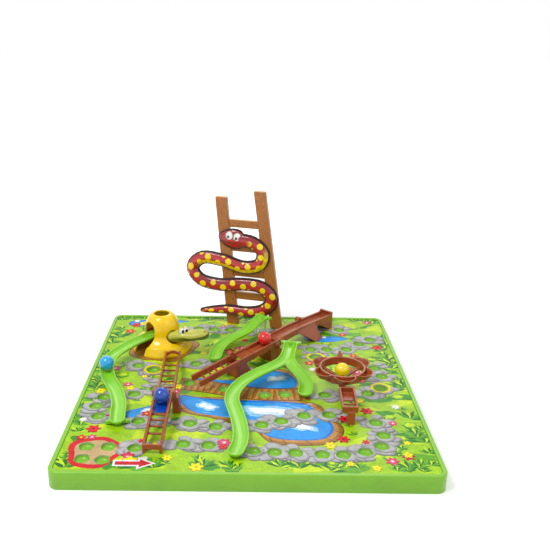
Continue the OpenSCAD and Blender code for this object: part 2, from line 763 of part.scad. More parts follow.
// One hollow leg of the beam: its foot and its head in shares along the beam
module beam_leg(shares, high) {
    x = long_run * shares;
    outline = [[x[0], 0], [x[1], 0], [x[2], high], [x[3], high]];
    for (side = [-1, 1]) translate([0, side * (ladder_w - mould_t) / 2 + mould_t / 2, 0])
        rotate([90, 0, 0]) linear_extrude(mould_t) polygon(outline);
    translate([0, ladder_w / 2, 0]) rotate([90, 0, 0]) linear_extrude(ladder_w) {
        polygon([outline[0], outline[0] + [mould_t, 0], outline[3] + [mould_t, 0], outline[3]]);
        polygon([outline[1] - [mould_t, 0], outline[1], outline[2], outline[2] - [mould_t, 0]]);
    }
}

// Peg inside a leg, held by a cross web
module leg_peg(x, high) {
    translate([x, 0, 0]) {
        peg();
        cylinder(high, peg_r, peg_r);
        translate([-mould_t / 2, -ladder_w / 2 + mould_t / 2, 0])
            cube([mould_t, ladder_w - mould_t, high]);
    }
}

module beam_walls(from, to, low, high) {
    for (side = [-1, 1])
        translate([from, side * (ladder_w - rail_t) / 2 - rail_t / 2, low])
            cube([to - from, rail_t, high - low]);
}

// Round boss on the far side of the beam
module beam_boss(x, high) {
    translate([x, ladder_w / 2 - rail_t, high]) rotate([-90, 0, 0])
        cylinder(rail_t + boss_len, boss_r, boss_r);
}

module long_ladder() color("sienna") {
    floor_top = long_h - flap_drop - seat_gap;
    difference() {
        union() {
            at_board(long_start, long_down_yaw) translate([0, 0, long_h])
                ladder(long_down, long_drop, long_rung_shares);
            long_frame() {
                beam_walls(-rail_t, long_joint_x, long_h - long_wall_h, long_h);
                beam_leg(leg_one_shares, long_h - long_wall_h);
                beam_leg(leg_two_shares, long_h - long_wall_h);
                translate([long_run * long_floor_shares[0], -ladder_w / 2 + rail_t / 2, floor_top - flap_t])
                    cube([long_run * (long_floor_shares[1] - long_floor_shares[0]),
                        ladder_w - rail_t, flap_t]);
                translate([long_flap_x + rail_t, -ladder_w / 2 + rail_t / 2, long_h - long_wall_h])
                    cube([rung_t, ladder_w - rail_t, long_wall_h - flap_drop - flap_t - seat_gap]);
                for (side = [-1, 1])
                    translate([long_pin_x, side * ear_x - ear_w / 2, long_h - knuckle_drop])
                        rotate([-90, 0, 0]) cylinder(ear_w, ear_r, ear_r);
                beam_boss(long_run * boss_shares[0], long_h);
            }
        }
        long_frame() translate([long_pin_x, -ladder_w, long_h - knuckle_drop]) rotate([-90, 0, 0])
            cylinder(2 * ladder_w, pin_r, pin_r);
    }
    long_frame() {
        leg_peg(leg_one_x, long_h - long_wall_h);
        leg_peg(leg_two_x, long_h - long_wall_h - seat_gap);
    }
}

module long_flap() color("sienna") long_frame()
    translate([long_pin_x, 0, long_h - knuckle_drop]) rotate([0, 0, -90]) flap(long_pin_x - long_flap_x);

module long_pin() color("saddlebrown") long_frame()
    translate([long_pin_x, 0, long_h - knuckle_drop]) rotate([0, 0, 90])
        hinge_pin(ladder_w + 2 * ear_t);

// Side view of the long channel: its walls or its floor, between two depths below the edge
function wall_at(k, deep) = [
    max(long_run * wall_shares[k][0], long_joint_x + seat_gap), long_h * wall_shares[k][1] - deep
];
module channel_side(top, deep, w) {
    last = len(wall_shares) - 1;
    translate([0, w / 2, 0]) rotate([90, 0, 0]) linear_extrude(w) polygon(concat(
        [for (k = [0 : last]) wall_at(k, top)],
        [for (k = [last : -1 : 0]) wall_at(k, deep)]
    ));
}

// Side view of the channel's buttress, and its view along the channel, both as long blocks
module buttress_side(inset) {
    x = long_run * buttress_shares;
    rotate([90, 0, 0]) linear_extrude(ladder_w + buttress_w) polygon([
        [x[0] + inset, -inset], [x[1] - inset, -inset],
        [x[2] - inset, buttress_h - inset], [x[3] + 2 * inset, buttress_h - inset]
    ]);
}
module buttress_end(outline) {
    rotate([90, 0, 90]) linear_extrude(long_run) polygon(outline);
}

// Hollow buttress on the near side of the channel, wider at its foot; its top is in the wall
module buttress() {
    inside = -ladder_w / 2 + rail_t / 2;
    foot = -ladder_w / 2 - buttress_w;
    difference() {
        intersection() {
            buttress_side(0);
            buttress_end([[inside, 0], [foot, 0], [-ladder_w / 2, buttress_h], [inside, buttress_h]]);
        }
        intersection() {
            buttress_side(mould_t);
            buttress_end([
                [inside - 2 * mould_t, -cut], [foot + mould_t, -cut],
                [inside - 2 * mould_t, buttress_h / 2]
            ]);
        }
    }
}

module long_channel() color("sienna") long_frame() {
    end_low = long_h * wall_shares[3][1] - long_wall_h + rail_t;
    gusset_x = long_run * gusset_share;
    difference() {
        union() {
            channel_side(0, long_wall_h, ladder_w);
            translate([long_run - end_t, -ladder_w / 2, 0])
                cube([end_t, ladder_w, long_h * tip_share]);
            for (side = [-1, 1]) translate([0, side * (ladder_w - rail_t) / 2 + rail_t / 2, 0])
                rotate([90, 0, 0]) linear_extrude(rail_t) polygon([
                    [long_run - 2 * rail_t, 0], [long_run - rail_t / 2, 0],
                    [long_run - rail_t / 2, end_low], [gusset_x, end_low]
                ]);
        }
        translate([-rail_t, 0, 0]) channel_side(-cut, flap_drop + seat_gap, ladder_w - 2 * rail_t);
    }
    buttress();
    translate([leg_three_x, leg_three_y, 0]) {
        peg();
        cylinder(2 * mould_t, peg_r, peg_r);
    }
    beam_boss(long_run * boss_shares[1], long_h);
}

// One petal: a shallow dish whose rim is cut by the ring
module petal_blank(r, high) {
    translate([flower_r - petal_r, 0, 0]) cylinder(high, r, r);
}

// One side of the leaf's outline, as a circle
module leaf_side(side) {
    translate([side * (leaf_r - leaf_half_w), 0]) circle(leaf_r);
}

module flower_wheel() color("sienna") at_board(flower_at, 0) {
    inner_r = flower_ring_r - ring_t / 2;
    outer_r = flower_ring_r + ring_t / 2;
    slope = atan2(flower_h - ring_h - hub_low - hub_t + spoke_t, inner_r - hub_r);
    difference() {
        union() {
            translate([0, 0, flower_h - ring_h]) cylinder(ring_h, outer_r, outer_r);
            difference() {
                for (a = petal_yaws) rotate([0, 0, a]) translate([0, 0, flower_h - petal_h])
                    petal_blank(petal_r, petal_h);
                for (a = petal_yaws) rotate([0, 0, a])
                    translate([0, 0, flower_h - petal_h + petal_t])
                        petal_blank(petal_r - petal_t, petal_h);
            }
        }
        translate([0, 0, flower_h - ring_h - cut]) cylinder(ring_h + 2 * cut, inner_r, inner_r);
    }
    difference() {
        union() {
            translate([0, 0, hub_low]) cylinder(hub_t, hub_r, hub_r);
            intersection() {
                for (a = spoke_yaws) rotate([0, 0, a])
                    translate([hub_r / 2, -spoke_w / 2, hub_low + hub_t - spoke_t])
                        rotate([0, -slope, 0]) cube([flower_r, spoke_w, spoke_t]);
                cylinder(flower_h, flower_ring_r, flower_ring_r);
            }
        }
        translate([0, 0, hub_low - cut])
            cylinder(hub_t - hub_wall + cut, peg_r + pin_fit, peg_r + pin_fit);
    }
    translate([0, flower_ring_r, flower_h - leaf_t]) rotate([leaf_tilt, 0, 0]) linear_extrude(leaf_t)
        intersection() {
            leaf_side(-1);
            leaf_side(1);
            translate([-leaf_half_w, 0]) square([2 * leaf_half_w, leaf_len]);
        }
}

module flower_stalk() color("sienna") at_board(flower_at, 0) {
    slope = atan2(trough_drop, trough_len);
    bar = (trough_len * (1 - trough_floor_share) - trough_t - slots * slot_bar) / slots;
    foot_h = trough_h - trough_drop - trough_deep;
    arm_slope = atan2(trough_h - trough_deep - hub_low + 2 * spoke_t, trough_near);
    translate([0, 0, hub_low - seat_gap - stem_r]) cylinder(stem_r, stem_r, stem_r);
    cylinder(hub_low + hub_t - hub_wall - seat_gap, peg_r, peg_r);
    peg();
    translate([0, -trough_near, trough_h]) rotate([slope, 0, 0]) difference() {
        translate([-trough_w / 2, -trough_len, -trough_deep])
            cube([trough_w, trough_len, trough_deep]);
        translate([-trough_w / 2 + trough_t, -trough_len + trough_t, -trough_deep + petal_t])
            cube([trough_w - 2 * trough_t, trough_len - 2 * trough_t, trough_deep]);
        for (k = [0 : slots - 1])
            translate([-trough_w / 2 + trough_t, -trough_len + trough_t + k * (bar + slot_bar),
                -trough_deep - cut])
                cube([trough_w - 2 * trough_t, bar, trough_deep]);
    }
    translate([stalk_leg_x - stalk_leg_w / 2, stalk_leg_y - stalk_leg_t / 2, 0])
        cube([stalk_leg_w, stalk_leg_t, foot_h + petal_t]);
    translate([stalk_leg_x, stalk_leg_y, 0]) peg();
    translate([-stalk_leg_w / 2, -trough_near - trough_t, trough_h - trough_deep - peg_fit])
        rotate([-arm_slope, 0, 0]) translate([0, 0, -spoke_t / 2])
        cube([stalk_leg_w, trough_near, spoke_t]);
}

module ball() {
    sphere(ball_d / 2);
}

front_ball_share = 0.18;
long_ball_share = 0.3;
slide_ball_share = 0.47;
slide_ball_at = round(slide_ball_share * len(dome_route));

module ball_blue() color("royalblue") front_slope_frame()
    translate([0, -front_len * front_ball_share, ride(ball_edge)]) ball();
module ball_red() color("red") long_frame()
    translate([long_run * long_ball_share, 0, long_h + ride(ball_edge)]) ball();
module ball_light_blue() color("deepskyblue") translate(dome_route[slide_ball_at])
    translate([0, 0, ride(slide_w / 2 - slide_t)]) ball();
module ball_yellow() color("yellow") at_board(flower_at, 0)
    translate([0, 0, hub_low + hub_t + seat_gap + ball_d / 2]) ball();

// Frame of the standing ladder: X across, Z up, its front face towards -Y
module standee_frame() {
    at_board(standee_at, standee_yaw) children();
}

// Lean of one rail, and the place of its inner or outer face at a height
function rail_lean(side) = standee_lean + side * standee_taper;
function rail_x(side, face, high) = side * standee_span / 2
    + face * standee_rail_w / 2 / cos(rail_lean(side)) - high * tan(rail_lean(side));

module standee_slab(outline, thick) {
    standee_frame() translate([0, thick / 2, 0]) rotate([90, 0, 0])
        linear_extrude(thick) polygon(outline);
}

module standee_rail(side, high) {
    standee_slab([
        [rail_x(side, -1, 0), 0], [rail_x(side, 1, 0), 0],
        [rail_x(side, 1, high), high], [rail_x(side, -1, high), high]
    ], standee_rail_t);
    standee_frame() translate([side * standee_span / 2, 0, 0]) peg();
}

module standee_left_rail() color("peru") standee_rail(-1, standee_h * left_rail_share);
module standee_right_rail() color("peru") standee_rail(1, standee_h);

module standee_rungs() color("peru") for (s = standee_rung_shares) {
    low = standee_h * s - standee_rung_h / 2;
    high = low + standee_rung_h;
    standee_slab([
        [rail_x(-1, 1, low), low], [rail_x(1, -1, low), low],
        [rail_x(1, -1, high), high], [rail_x(-1, 1, high), high]
    ], standee_rung_t);
}

// Standing snake: its route, its half width along the route and its outline
snake_route = smooth([for (s = snake_shares) [standee_span * s[0], standee_h * s[1]]], snake_step);
snake_last = len(snake_route) - 1;
function snake_half(i, edge) = edge + (snake_w - (snake_w - snake_tip_w)
    * pow(max(0, 1 - i / snake_last / snake_tail_share), 2)) / 2;
function snake_side(i, side, edge) = snake_route[i]
    + turn([0, side * snake_half(i, edge)], heading(snake_route, i));

// Points of the snake's tail and head, joined into one outline with its two sides
function tail_points(edge) = [for (a = [-120 : -30 : -240])
    snake_route[0] + turn([snake_half(0, edge), 0], heading(snake_route, 0) + a)];
function head_points(edge) = [for (a = [snake_head_arc : -12 : -snake_head_arc])
    snake_route[snake_last] + turn([
        snake_head_len / 4 + (snake_head_len / 2 + edge) * cos(a),
        (snake_head_w / 2 * (1 - snake_head_taper * cos(a)) + edge) * sin(a)
    ], heading(snake_route, snake_last))];

module snake_outline(edge) {
    polygon(concat(
        [for (i = [0 : snake_last - 1]) snake_side(i, 1, edge)],
        head_points(edge),
        [for (i = [snake_last - 1 : -1 : 0]) snake_side(i, -1, edge)],
        tail_points(edge)
    ));
}

module snake_back() color("black") standee_frame() translate([0, -standee_rail_t / 2, 0])
    rotate([90, 0, 0]) linear_extrude(snake_back_t) snake_outline(snake_edge);

module snake_body() color("firebrick") standee_frame()
    translate([0, -standee_rail_t / 2 - snake_back_t, 0])
    rotate([90, 0, 0]) linear_extrude(snake_thick - snake_back_t) snake_outline(0);

base_tray();
printed_card();
dome_shell();
snake_head();
snake_eyes();
dome_slide();
rear_slide();
rear_slide_post();
fork_slide();
fork_slide_post();
front_ladder();
front_flap();
front_pin();
upper_ladder();
long_ladder();
long_flap();
long_pin();
long_channel();
flower_wheel();
flower_stalk();
ball_blue();
ball_red();
ball_light_blue();
ball_yellow();
standee_left_rail();
standee_right_rail();
standee_rungs();
snake_back();
snake_body();
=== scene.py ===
"""A snakes and ladders board with slides, ladders, a dome, a flower wheel and a standing snake."""

import math

import bmesh
import bpy
from mathutils import Matrix, Vector, geometry


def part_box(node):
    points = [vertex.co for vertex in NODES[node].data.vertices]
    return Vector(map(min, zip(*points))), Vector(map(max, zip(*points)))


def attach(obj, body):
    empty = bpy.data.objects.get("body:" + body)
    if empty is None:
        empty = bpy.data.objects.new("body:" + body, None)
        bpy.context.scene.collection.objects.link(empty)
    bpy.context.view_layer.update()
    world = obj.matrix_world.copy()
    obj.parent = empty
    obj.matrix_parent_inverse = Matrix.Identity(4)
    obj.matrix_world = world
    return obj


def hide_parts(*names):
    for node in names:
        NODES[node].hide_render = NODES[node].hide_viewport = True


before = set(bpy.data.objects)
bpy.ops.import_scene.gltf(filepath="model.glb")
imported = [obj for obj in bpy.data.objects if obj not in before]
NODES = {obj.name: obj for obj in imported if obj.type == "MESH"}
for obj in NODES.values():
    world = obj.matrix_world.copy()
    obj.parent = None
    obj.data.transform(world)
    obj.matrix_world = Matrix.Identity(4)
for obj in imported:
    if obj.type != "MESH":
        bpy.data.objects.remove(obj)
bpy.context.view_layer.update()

bl_info = {
    "name": "Snakes and ladders board",
    "version": (1, 0, 0),
    "blender": (4, 5, 0),
    "location": "View3D > Sidebar > Board",
    "description": "Finishes a ball run board: tray, card, slides, ladders, dome, wheel and standing snake",
    "category": "Add Mesh",
}

MM = 0.001


def node_box(name):
    """Lowest and highest corner of a CAD node, as vectors."""
    low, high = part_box(name)
    return Vector(low), Vector(high)


TRAY_LOW, TRAY_HIGH = node_box("base_tray")
CARD_TOP = node_box("printed_card")[1].z
BOARD_W = TRAY_HIGH.x - TRAY_LOW.x


# Settings that a user would change


def colour_property(name, description, colour):
    """A colour setting with its name, description and default."""
    return bpy.props.FloatVectorProperty(
        name=name, description=description, subtype="COLOR", size=3, min=0.0, max=1.0, default=colour
    )


class BoardColours(bpy.types.PropertyGroup):
    """Colours of the board's plastics and prints."""

    tray: colour_property("Tray", "Colour of the moulded tray", (0.22, 0.52, 0.025))
    slide: colour_property("Slide", "Colour of the slides", (0.25, 0.64, 0.02))
    dome: colour_property("Dome", "Colour of the dome", (1.0, 0.62, 0.0))
    ladder: colour_property("Ladder", "Colour of the ladders and the flower", (0.36, 0.075, 0.018))
    flap: colour_property("Flap", "Colour of the blue flap", (0.003, 0.06, 0.42))
    wood: colour_property("Wood", "Colour of the standing ladder", (0.42, 0.145, 0.022))


class BoardSizes(bpy.types.PropertyGroup):
    """Finishing sizes of the moulded pieces."""

    edge_round: bpy.props.FloatProperty(
        name="Edge round",
        description="Radius of the rounding on moulded edges",
        default=0.35 * MM,
        min=0.0,
        subtype="DISTANCE",
        unit="LENGTH",
    )


# Materials

SPREAD = (0.3, 0.7)  # most of a noise lies between these values


def new_material(name):
    """A new node material; returns it with its tree and its Principled shader."""
    mat = bpy.data.materials.new(name)
    mat.use_nodes = True
    return mat, mat.node_tree, mat.node_tree.nodes["Principled BSDF"]


def set_inputs(node, values):
    """Put constants on a node's sockets."""
    for name, value in values.items():
        node.inputs[name].default_value = value


def add_node(tree, kind, inputs=None, **settings):
    """A node of that kind with its settings and socket values."""
    node = tree.nodes.new(kind)
    for key, value in settings.items():
        setattr(node, key, value)
    set_inputs(node, inputs or {})
    return node


def object_coordinates(tree):
    """The socket with the piece's own coordinates."""
    return add_node(tree, "ShaderNodeTexCoord").outputs["Object"]


def print_colour(tree):
    """The socket with the colours that are painted on the mesh."""
    return add_node(tree, "ShaderNodeAttribute", attribute_name="print").outputs["Color"]


def noise_value(tree, coords, scale, detail=3.0, distortion=0.0):
    """Noise at that scale per metre."""
    node = add_node(
        tree,
        "ShaderNodeTexNoise",
        {"Scale": scale, "Detail": detail, "Roughness": 0.55, "Distortion": distortion},
    )
    tree.links.new(coords, node.inputs["Vector"])
    return node.outputs["Fac"]


def ramp(tree, value, stops):
    """A colour ramp over a value; stops are (place, (r, g, b))."""
    node = add_node(tree, "ShaderNodeValToRGB")
    elements = node.color_ramp.elements
    while len(elements) < len(stops):
        elements.new(0.5)
    for element, (place, colour) in zip(elements, stops):
        element.position = place
        element.color = (*colour, 1.0)
    tree.links.new(value, node.inputs["Fac"])
    return node.outputs["Color"]


def grey_tones(tree, value, dark, pale, spread=SPREAD):
    """Tones to multiply a colour by, from dark at a low value to pale at a high one."""
    return ramp(tree, value, [(spread[0], (dark,) * 3), (spread[1], (pale,) * 3)])


def mixed(tree, first, second, **settings):
    """A colour mix of two sockets, with its node."""
    mix = add_node(tree, "ShaderNodeMix", data_type="RGBA", **settings)
    tree.links.new(first, mix.inputs[6])
    if second:
        tree.links.new(second, mix.inputs[7])
    return mix, mix.outputs[2]


def multiplied(tree, first, second):
    """The product of two colour sockets."""
    mix, product = mixed(tree, first, second, blend_type="MULTIPLY")
    mix.inputs["Factor"].default_value = 1.0
    return product


def add_bump(tree, shader, height, distance, strength):
    """Bump from a height socket; the distance is in metres."""
    node = add_node(tree, "ShaderNodeBump", {"Strength": strength, "Distance": distance})
    tree.links.new(height, node.inputs["Height"])
    tree.links.new(node.outputs["Normal"], shader.inputs["Normal"])


def shade(colour, factor):
    """A colour made lighter or darker, kept within range."""
    return tuple(min(1.0, max(0.0, c * factor)) for c in colour)


def blend_of(a, b, t):
    """Mix of two colours."""
    t = min(1.0, max(0.0, t))
    return tuple(x + (y - x) * t for x, y in zip(a, b))


def plank_grooves(tree, coords):
    """Height of upright grooves like those between boards."""
    aligned = add_node(tree, "ShaderNodeMapping", {"Rotation": (0.0, 0.0, math.radians(32))})
    tree.links.new(coords, aligned.inputs["Vector"])
    grooves = add_node(
        tree,
        "ShaderNodeTexWave",
        {"Scale": 75.0, "Distortion": 2.5, "Detail": 2.0, "Detail Scale": 0.6},
        wave_type="BANDS",
        bands_direction="X",
        wave_profile="SAW",
    )
    tree.links.new(aligned.outputs["Vector"], grooves.inputs["Vector"])
    return grooves.outputs["Fac"]


def moulded_plastic(name, colour, roughness, variation, coat, subsurface=0.0, planks=0.0):
    """Glossy moulded plastic: slight flow marks in its colour, an uneven gloss and soft ripples.

    With planks it has grooves like those between boards in place of ripples, that deep in metres.
    """
    mat, tree, shader = new_material(name)
    coords = object_coordinates(tree)
    stops = list(zip(SPREAD, (shade(colour, 1 - variation), shade(colour, 1 + variation))))
    flow = ramp(tree, noise_value(tree, coords, 45.0, 2.0, 0.6), stops)
    tree.links.new(flow, shader.inputs["Base Color"])
    gloss = add_node(
        tree,
        "ShaderNodeMapRange",
        {
            "From Min": SPREAD[0], "From Max": SPREAD[1],
            "To Min": roughness * 0.85, "To Max": roughness * 1.2,
        },
    )
    tree.links.new(noise_value(tree, coords, 110.0, 2.0), gloss.inputs["Value"])
    tree.links.new(gloss.outputs["Result"], shader.inputs["Roughness"])
    set_inputs(shader, {"Coat Weight": coat, "Coat Roughness": 0.12, "Specular IOR Level": 0.38})
    if subsurface:
        set_inputs(
            shader,
            {
                "Subsurface Weight": subsurface,
                "Subsurface Radius": (1.0, 1.0, 0.4),
                "Subsurface Scale": 1.2 * MM,
            },
        )
    if planks:
        add_bump(tree, shader, plank_grooves(tree, coords), planks, 0.5)
    else:
        add_bump(tree, shader, noise_value(tree, coords, 90.0, 1.0), 0.25 * MM, 0.18)
    return mat


def clear_plastic(name):
    """Clear moulded plastic with a green tint."""
    mat, tree, shader = new_material(name)
    set_inputs(
        shader,
        {
            "Base Color": (0.86, 0.93, 0.86, 1.0),
            "Roughness": 0.06,
            "IOR": 1.49,
            "Transmission Weight": 0.92,
        },
    )
    ripples = noise_value(tree, object_coordinates(tree), 180.0, 2.0)
    add_bump(tree, shader, ripples, 0.2 * MM, 0.3)
    return mat


# Mesh helpers


def add_object(name, data):
    """An object in the scene with that mesh, lamp or camera."""
    obj = bpy.data.objects.new(name, data)
    bpy.context.collection.objects.link(obj)
    return obj


def finish_piece(mesh, name, body, material, replaced, sharp_angle=0.0):
    """A finished piece from a mesh: shaded, given its material and tied to its body.

    Edges steeper than the sharp angle, in degrees, stay sharp; at 0 all are smooth.
    """
    obj = add_object(name, mesh)
    mesh.materials.clear()
    mesh.materials.append(material)
    mesh.shade_smooth()
    if sharp_angle:
        mesh.set_sharp_from_angle(angle=math.radians(sharp_angle))
    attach(obj, body)
    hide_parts(*replaced)
    return obj


def applied(obj, name):
    """The object's evaluated mesh under a new name; the object itself is removed."""
    depsgraph = bpy.context.evaluated_depsgraph_get()
    mesh = bpy.data.meshes.new_from_object(obj.evaluated_get(depsgraph))
    mesh.name = name
    bpy.data.objects.remove(obj)
    return mesh


def reworked(mesh, *steps):
    """The mesh after steps that each work on its BMesh."""
    work = bmesh.new()
    work.from_mesh(mesh)
    for step in steps:
        step(work)
    work.to_mesh(mesh)
    work.free()
    return mesh


def merge_doubles(dist):
    """A step that merges vertices closer than a distance."""
    return lambda work: bmesh.ops.remove_doubles(work, verts=work.verts, dist=dist)


def turn_outwards(work):
    """A step that turns all faces outwards."""
    bmesh.ops.recalc_face_normals(work, faces=work.faces)


def dissolve_flat(work):
    """A step that dissolves the edges inside flat faces."""
    bmesh.ops.dissolve_limit(work, angle_limit=math.radians(1.0), verts=work.verts, edges=work.edges)


def node_copy(node):
    """A copy of a CAD node's mesh with its doubles merged."""
    return reworked(NODES[node].data.copy(), merge_doubles(0.002 * MM))


def rounded_copy(node, radius):
    """A copy of a CAD node with its sharp edges rounded."""
    obj = add_object("work", reworked(node_copy(node), dissolve_flat))
    bevel = obj.modifiers.new("round", "BEVEL")
    bevel.width = radius
    bevel.segments = 2
    bevel.limit_method = "ANGLE"
    bevel.angle_limit = math.radians(28.0)
    bevel.harden_normals = False
    bevel.use_clamp_overlap = True
    return applied(obj, node)


def softened(mesh, voxel, rounds):
    """The mesh remeshed evenly and smoothed, so that its edges are soft as moulded ones."""
    obj = add_object("work", mesh)
    remesh = obj.modifiers.new("even", "REMESH")
    remesh.mode = "VOXEL"
    remesh.voxel_size = voxel
    remesh.adaptivity = 0.0
    soften = obj.modifiers.new("soften", "SMOOTH")
    soften.iterations = rounds
    soften.factor = 0.5
    return applied(obj, mesh.name)


def plain_mesh(name, verts, faces):
    """A mesh from its points and faces."""
    mesh = bpy.data.meshes.new(name)
    mesh.from_pydata([tuple(v) for v in verts], [], faces)
    return mesh


def closed_mesh(name, verts, faces):
    """A mesh with its doubles merged and its faces turned outwards."""
    return reworked(plain_mesh(name, verts, faces), merge_doubles(0.001 * MM), turn_outwards)


def loft(name, rings, loop=False):
    """A closed skin over rings of points, capped at both ends unless it runs in a loop."""
    count = len(rings[0])
    faces = []
    for i in range(len(rings) - (0 if loop else 1)):
        j = (i + 1) % len(rings)
        for k in range(count):
            n = (k + 1) % count
            faces.append((i * count + k, i * count + n, j * count + n, j * count + k))
    if not loop:
        faces.append(tuple(range(count)))
        faces.append(tuple(range((len(rings) - 1) * count, len(rings) * count)))
    return closed_mesh(name, [p for ring in rings for p in ring], faces)


def full_turn(count):
    """Angles of a full turn in equal steps."""
    return [2 * math.pi * k / count for k in range(count)]


def turned(name, profile, centre=(0.0, 0.0, 0.0), segments=64):
    """A body turned round Z from a profile of radius and height that starts and ends on its axis."""
    cx, cy, cz = centre
    rings = [
        [(cx + r * math.cos(a), cy + r * math.sin(a), cz + z) for r, z in profile]
        for a in full_turn(segments)
    ]
    return loft(name, rings, loop=True)


def joined(name, meshes):
    """One mesh from several."""
    work = bmesh.new()
    for mesh in meshes:
        work.from_mesh(mesh)
    result = bpy.data.meshes.new(name)
    work.to_mesh(result)
    work.free()
    return result


def carved(base, tool, operation="DIFFERENCE"):
    """The base with the tool's shape cut away, or added."""
    body, cutter = add_object("work", base), add_object("work", tool)
    cut = body.modifiers.new("cut", "BOOLEAN")
    cut.object = cutter
    cut.operation = operation
    cut.solver = "EXACT"
    cut.use_self = True
    mesh = applied(body, base.name)
    bpy.data.objects.remove(cutter)
    return mesh


def united(meshes):
    """One solid from several that overlap."""
    base = meshes[0]
    for more in meshes[1:]:
        base = carved(base, more, "UNION")
    return base


def block(name, low, high):
    """A box between two corners."""
    corners = [(x, y, z) for x in (low[0], high[0]) for y in (low[1], high[1]) for z in (low[2], high[2])]
    faces = [(0, 1, 3, 2), (4, 6, 7, 5), (0, 4, 5, 1), (2, 3, 7, 6), (0, 2, 6, 4), (1, 5, 7, 3)]
    return closed_mesh(name, corners, faces)


def moved(mesh, place):
    """The mesh after a matrix."""
    mesh.transform(place)
    mesh.update()
    return mesh


def curve_point(a, b, c, d, t):
    """A point between b and c on a smooth curve through four points."""
    return 0.5 * (2 * b + (c - a) * t + (2 * a - 5 * b + 4 * c - d) * t**2 + (3 * b - a - 3 * c + d) * t**3)


def spline(points, steps):
    """Points of a smooth curve through the points, with that many steps on each stretch."""
    curve = []
    last = len(points) - 1
    for i in range(last):
        b, c = points[i], points[i + 1]
        a = points[i - 1] if i else 2 * b - c
        d = points[i + 2] if i + 2 <= last else 2 * c - b
        curve += [curve_point(a, b, c, d, s / steps) for s in range(steps)]
    return curve + [points[last].copy()]


def smooth_step(low, high, value):
    """0 below the low value, 1 above the high one, smooth between."""
    t = min(1.0, max(0.0, (value - low) / (high - low)))
    return t * t * (3 - 2 * t)


def heading(route, i):
    """Direction of a route at one of its points, seen from above."""
    step = route[min(i + 1, len(route) - 1)] - route[max(i - 1, 0)]
    return math.atan2(step.y, step.x)


def swept(name, route, section):
    """A section of points across and up, swept upright along a route."""
    rings = []
    for i, point in enumerate(route):
        a = heading(route, i)
        side = Vector((-math.sin(a), math.cos(a), 0.0))
        rings.append([point + side * across + Vector((0.0, 0.0, up)) for across, up in section])
    return loft(name, rings)


def placed(at, yaw=0.0, z=CARD_TOP):
    """Frame of a piece on the card: at a place and turned by an angle in radians."""
    return Matrix.Translation((at[0], at[1], z)) @ Matrix.Rotation(yaw, 4, "Z")


# Stage, light and camera

FLOOR_HALF = 6.0
LAMP_AIM = Vector((0.0, 0.0, 0.02))
LAMPS = (
    ("key", (-0.45, -0.35, 0.95), 0.35, 5.8),
    ("fill", (0.75, -0.6, 0.7), 0.6, 1.6),
    ("back", (0.1, 0.9, 0.8), 0.6, 2.0),
)
WORLD_LIGHT = 0.6
CAMERA_AT = (-0.003563, -0.578077, 0.321656)
CAMERA_YAW, CAMERA_PITCH, CAMERA_ROLL = 0.00666, 0.34374, 0.01497
CAMERA_SENSOR, CAMERA_LENS, CAMERA_SHIFT = 36.0, 46.79, 0.04545


def seen_directly(tree):
    """1 for rays from the camera, off gloss or through clear plastic, 0 for all others."""
    path = add_node(tree, "ShaderNodeLightPath")
    seen = path.outputs["Is Camera Ray"]
    for ray in ("Is Glossy Ray", "Is Transmission Ray"):
        either = add_node(tree, "ShaderNodeMath", operation="MAXIMUM")
        tree.links.new(seen, either.inputs[0])
        tree.links.new(path.outputs[ray], either.inputs[1])
        seen = either.outputs["Value"]
    return seen


def floor_paper():
    """White paper whose glow grows away from the object, so that its shadow stays and the rest is white."""
    mat, tree, shader = new_material("floor_paper")
    coords = object_coordinates(tree)
    paper = grey_tones(tree, noise_value(tree, coords, 3.0), 0.78, 0.8, (0.0, 1.0))
    away = add_node(tree, "ShaderNodeVectorMath", operation="LENGTH")
    tree.links.new(coords, away.inputs[0])
    level = add_node(
        tree, "ShaderNodeMapRange", {"From Min": 0.2, "From Max": 0.9, "To Min": 0.3, "To Max": 0.9}
    )
    tree.links.new(away.outputs["Value"], level.inputs["Value"])
    glow = add_node(tree, "ShaderNodeMath", operation="MULTIPLY")
    tree.links.new(seen_directly(tree), glow.inputs[0])
    tree.links.new(level.outputs["Result"], glow.inputs[1])
    tree.links.new(glow.outputs["Value"], shader.inputs["Emission Strength"])
    tree.links.new(paper, shader.inputs["Base Color"])
    set_inputs(
        shader, {"Emission Color": (1.0, 1.0, 1.0, 1.0), "Roughness": 0.9, "Specular IOR Level": 0.1}
    )
    return mat


def studio_world():
    """A world that lights plainly and looks white."""
    world = bpy.data.worlds.new("studio")
    world.use_nodes = True
    tree = world.node_tree
    back = tree.nodes["Background"]
    level = add_node(
        tree,
        "ShaderNodeMapRange",
        {"From Min": 0.0, "From Max": 1.0, "To Min": WORLD_LIGHT, "To Max": 1.0},
    )
    tree.links.new(seen_directly(tree), level.inputs["Value"])
    tree.links.new(level.outputs["Result"], back.inputs["Strength"])
    back.inputs["Color"].default_value = (1.0, 1.0, 1.0, 1.0)
    return world


def camera_place():
    """Frame of the camera from its place, yaw, pitch and roll."""
    forward = Vector((
        math.sin(CAMERA_YAW) * math.cos(CAMERA_PITCH),
        math.cos(CAMERA_YAW) * math.cos(CAMERA_PITCH),
        -math.sin(CAMERA_PITCH),
    ))
    right = Vector((math.cos(CAMERA_YAW), -math.sin(CAMERA_YAW), 0.0))
    up = right.cross(forward)
    across = math.cos(CAMERA_ROLL) * right + math.sin(CAMERA_ROLL) * up
    upright = math.cos(CAMERA_ROLL) * up - math.sin(CAMERA_ROLL) * right
    return Matrix.Translation(CAMERA_AT) @ Matrix((across, upright, -forward)).transposed().to_4x4()


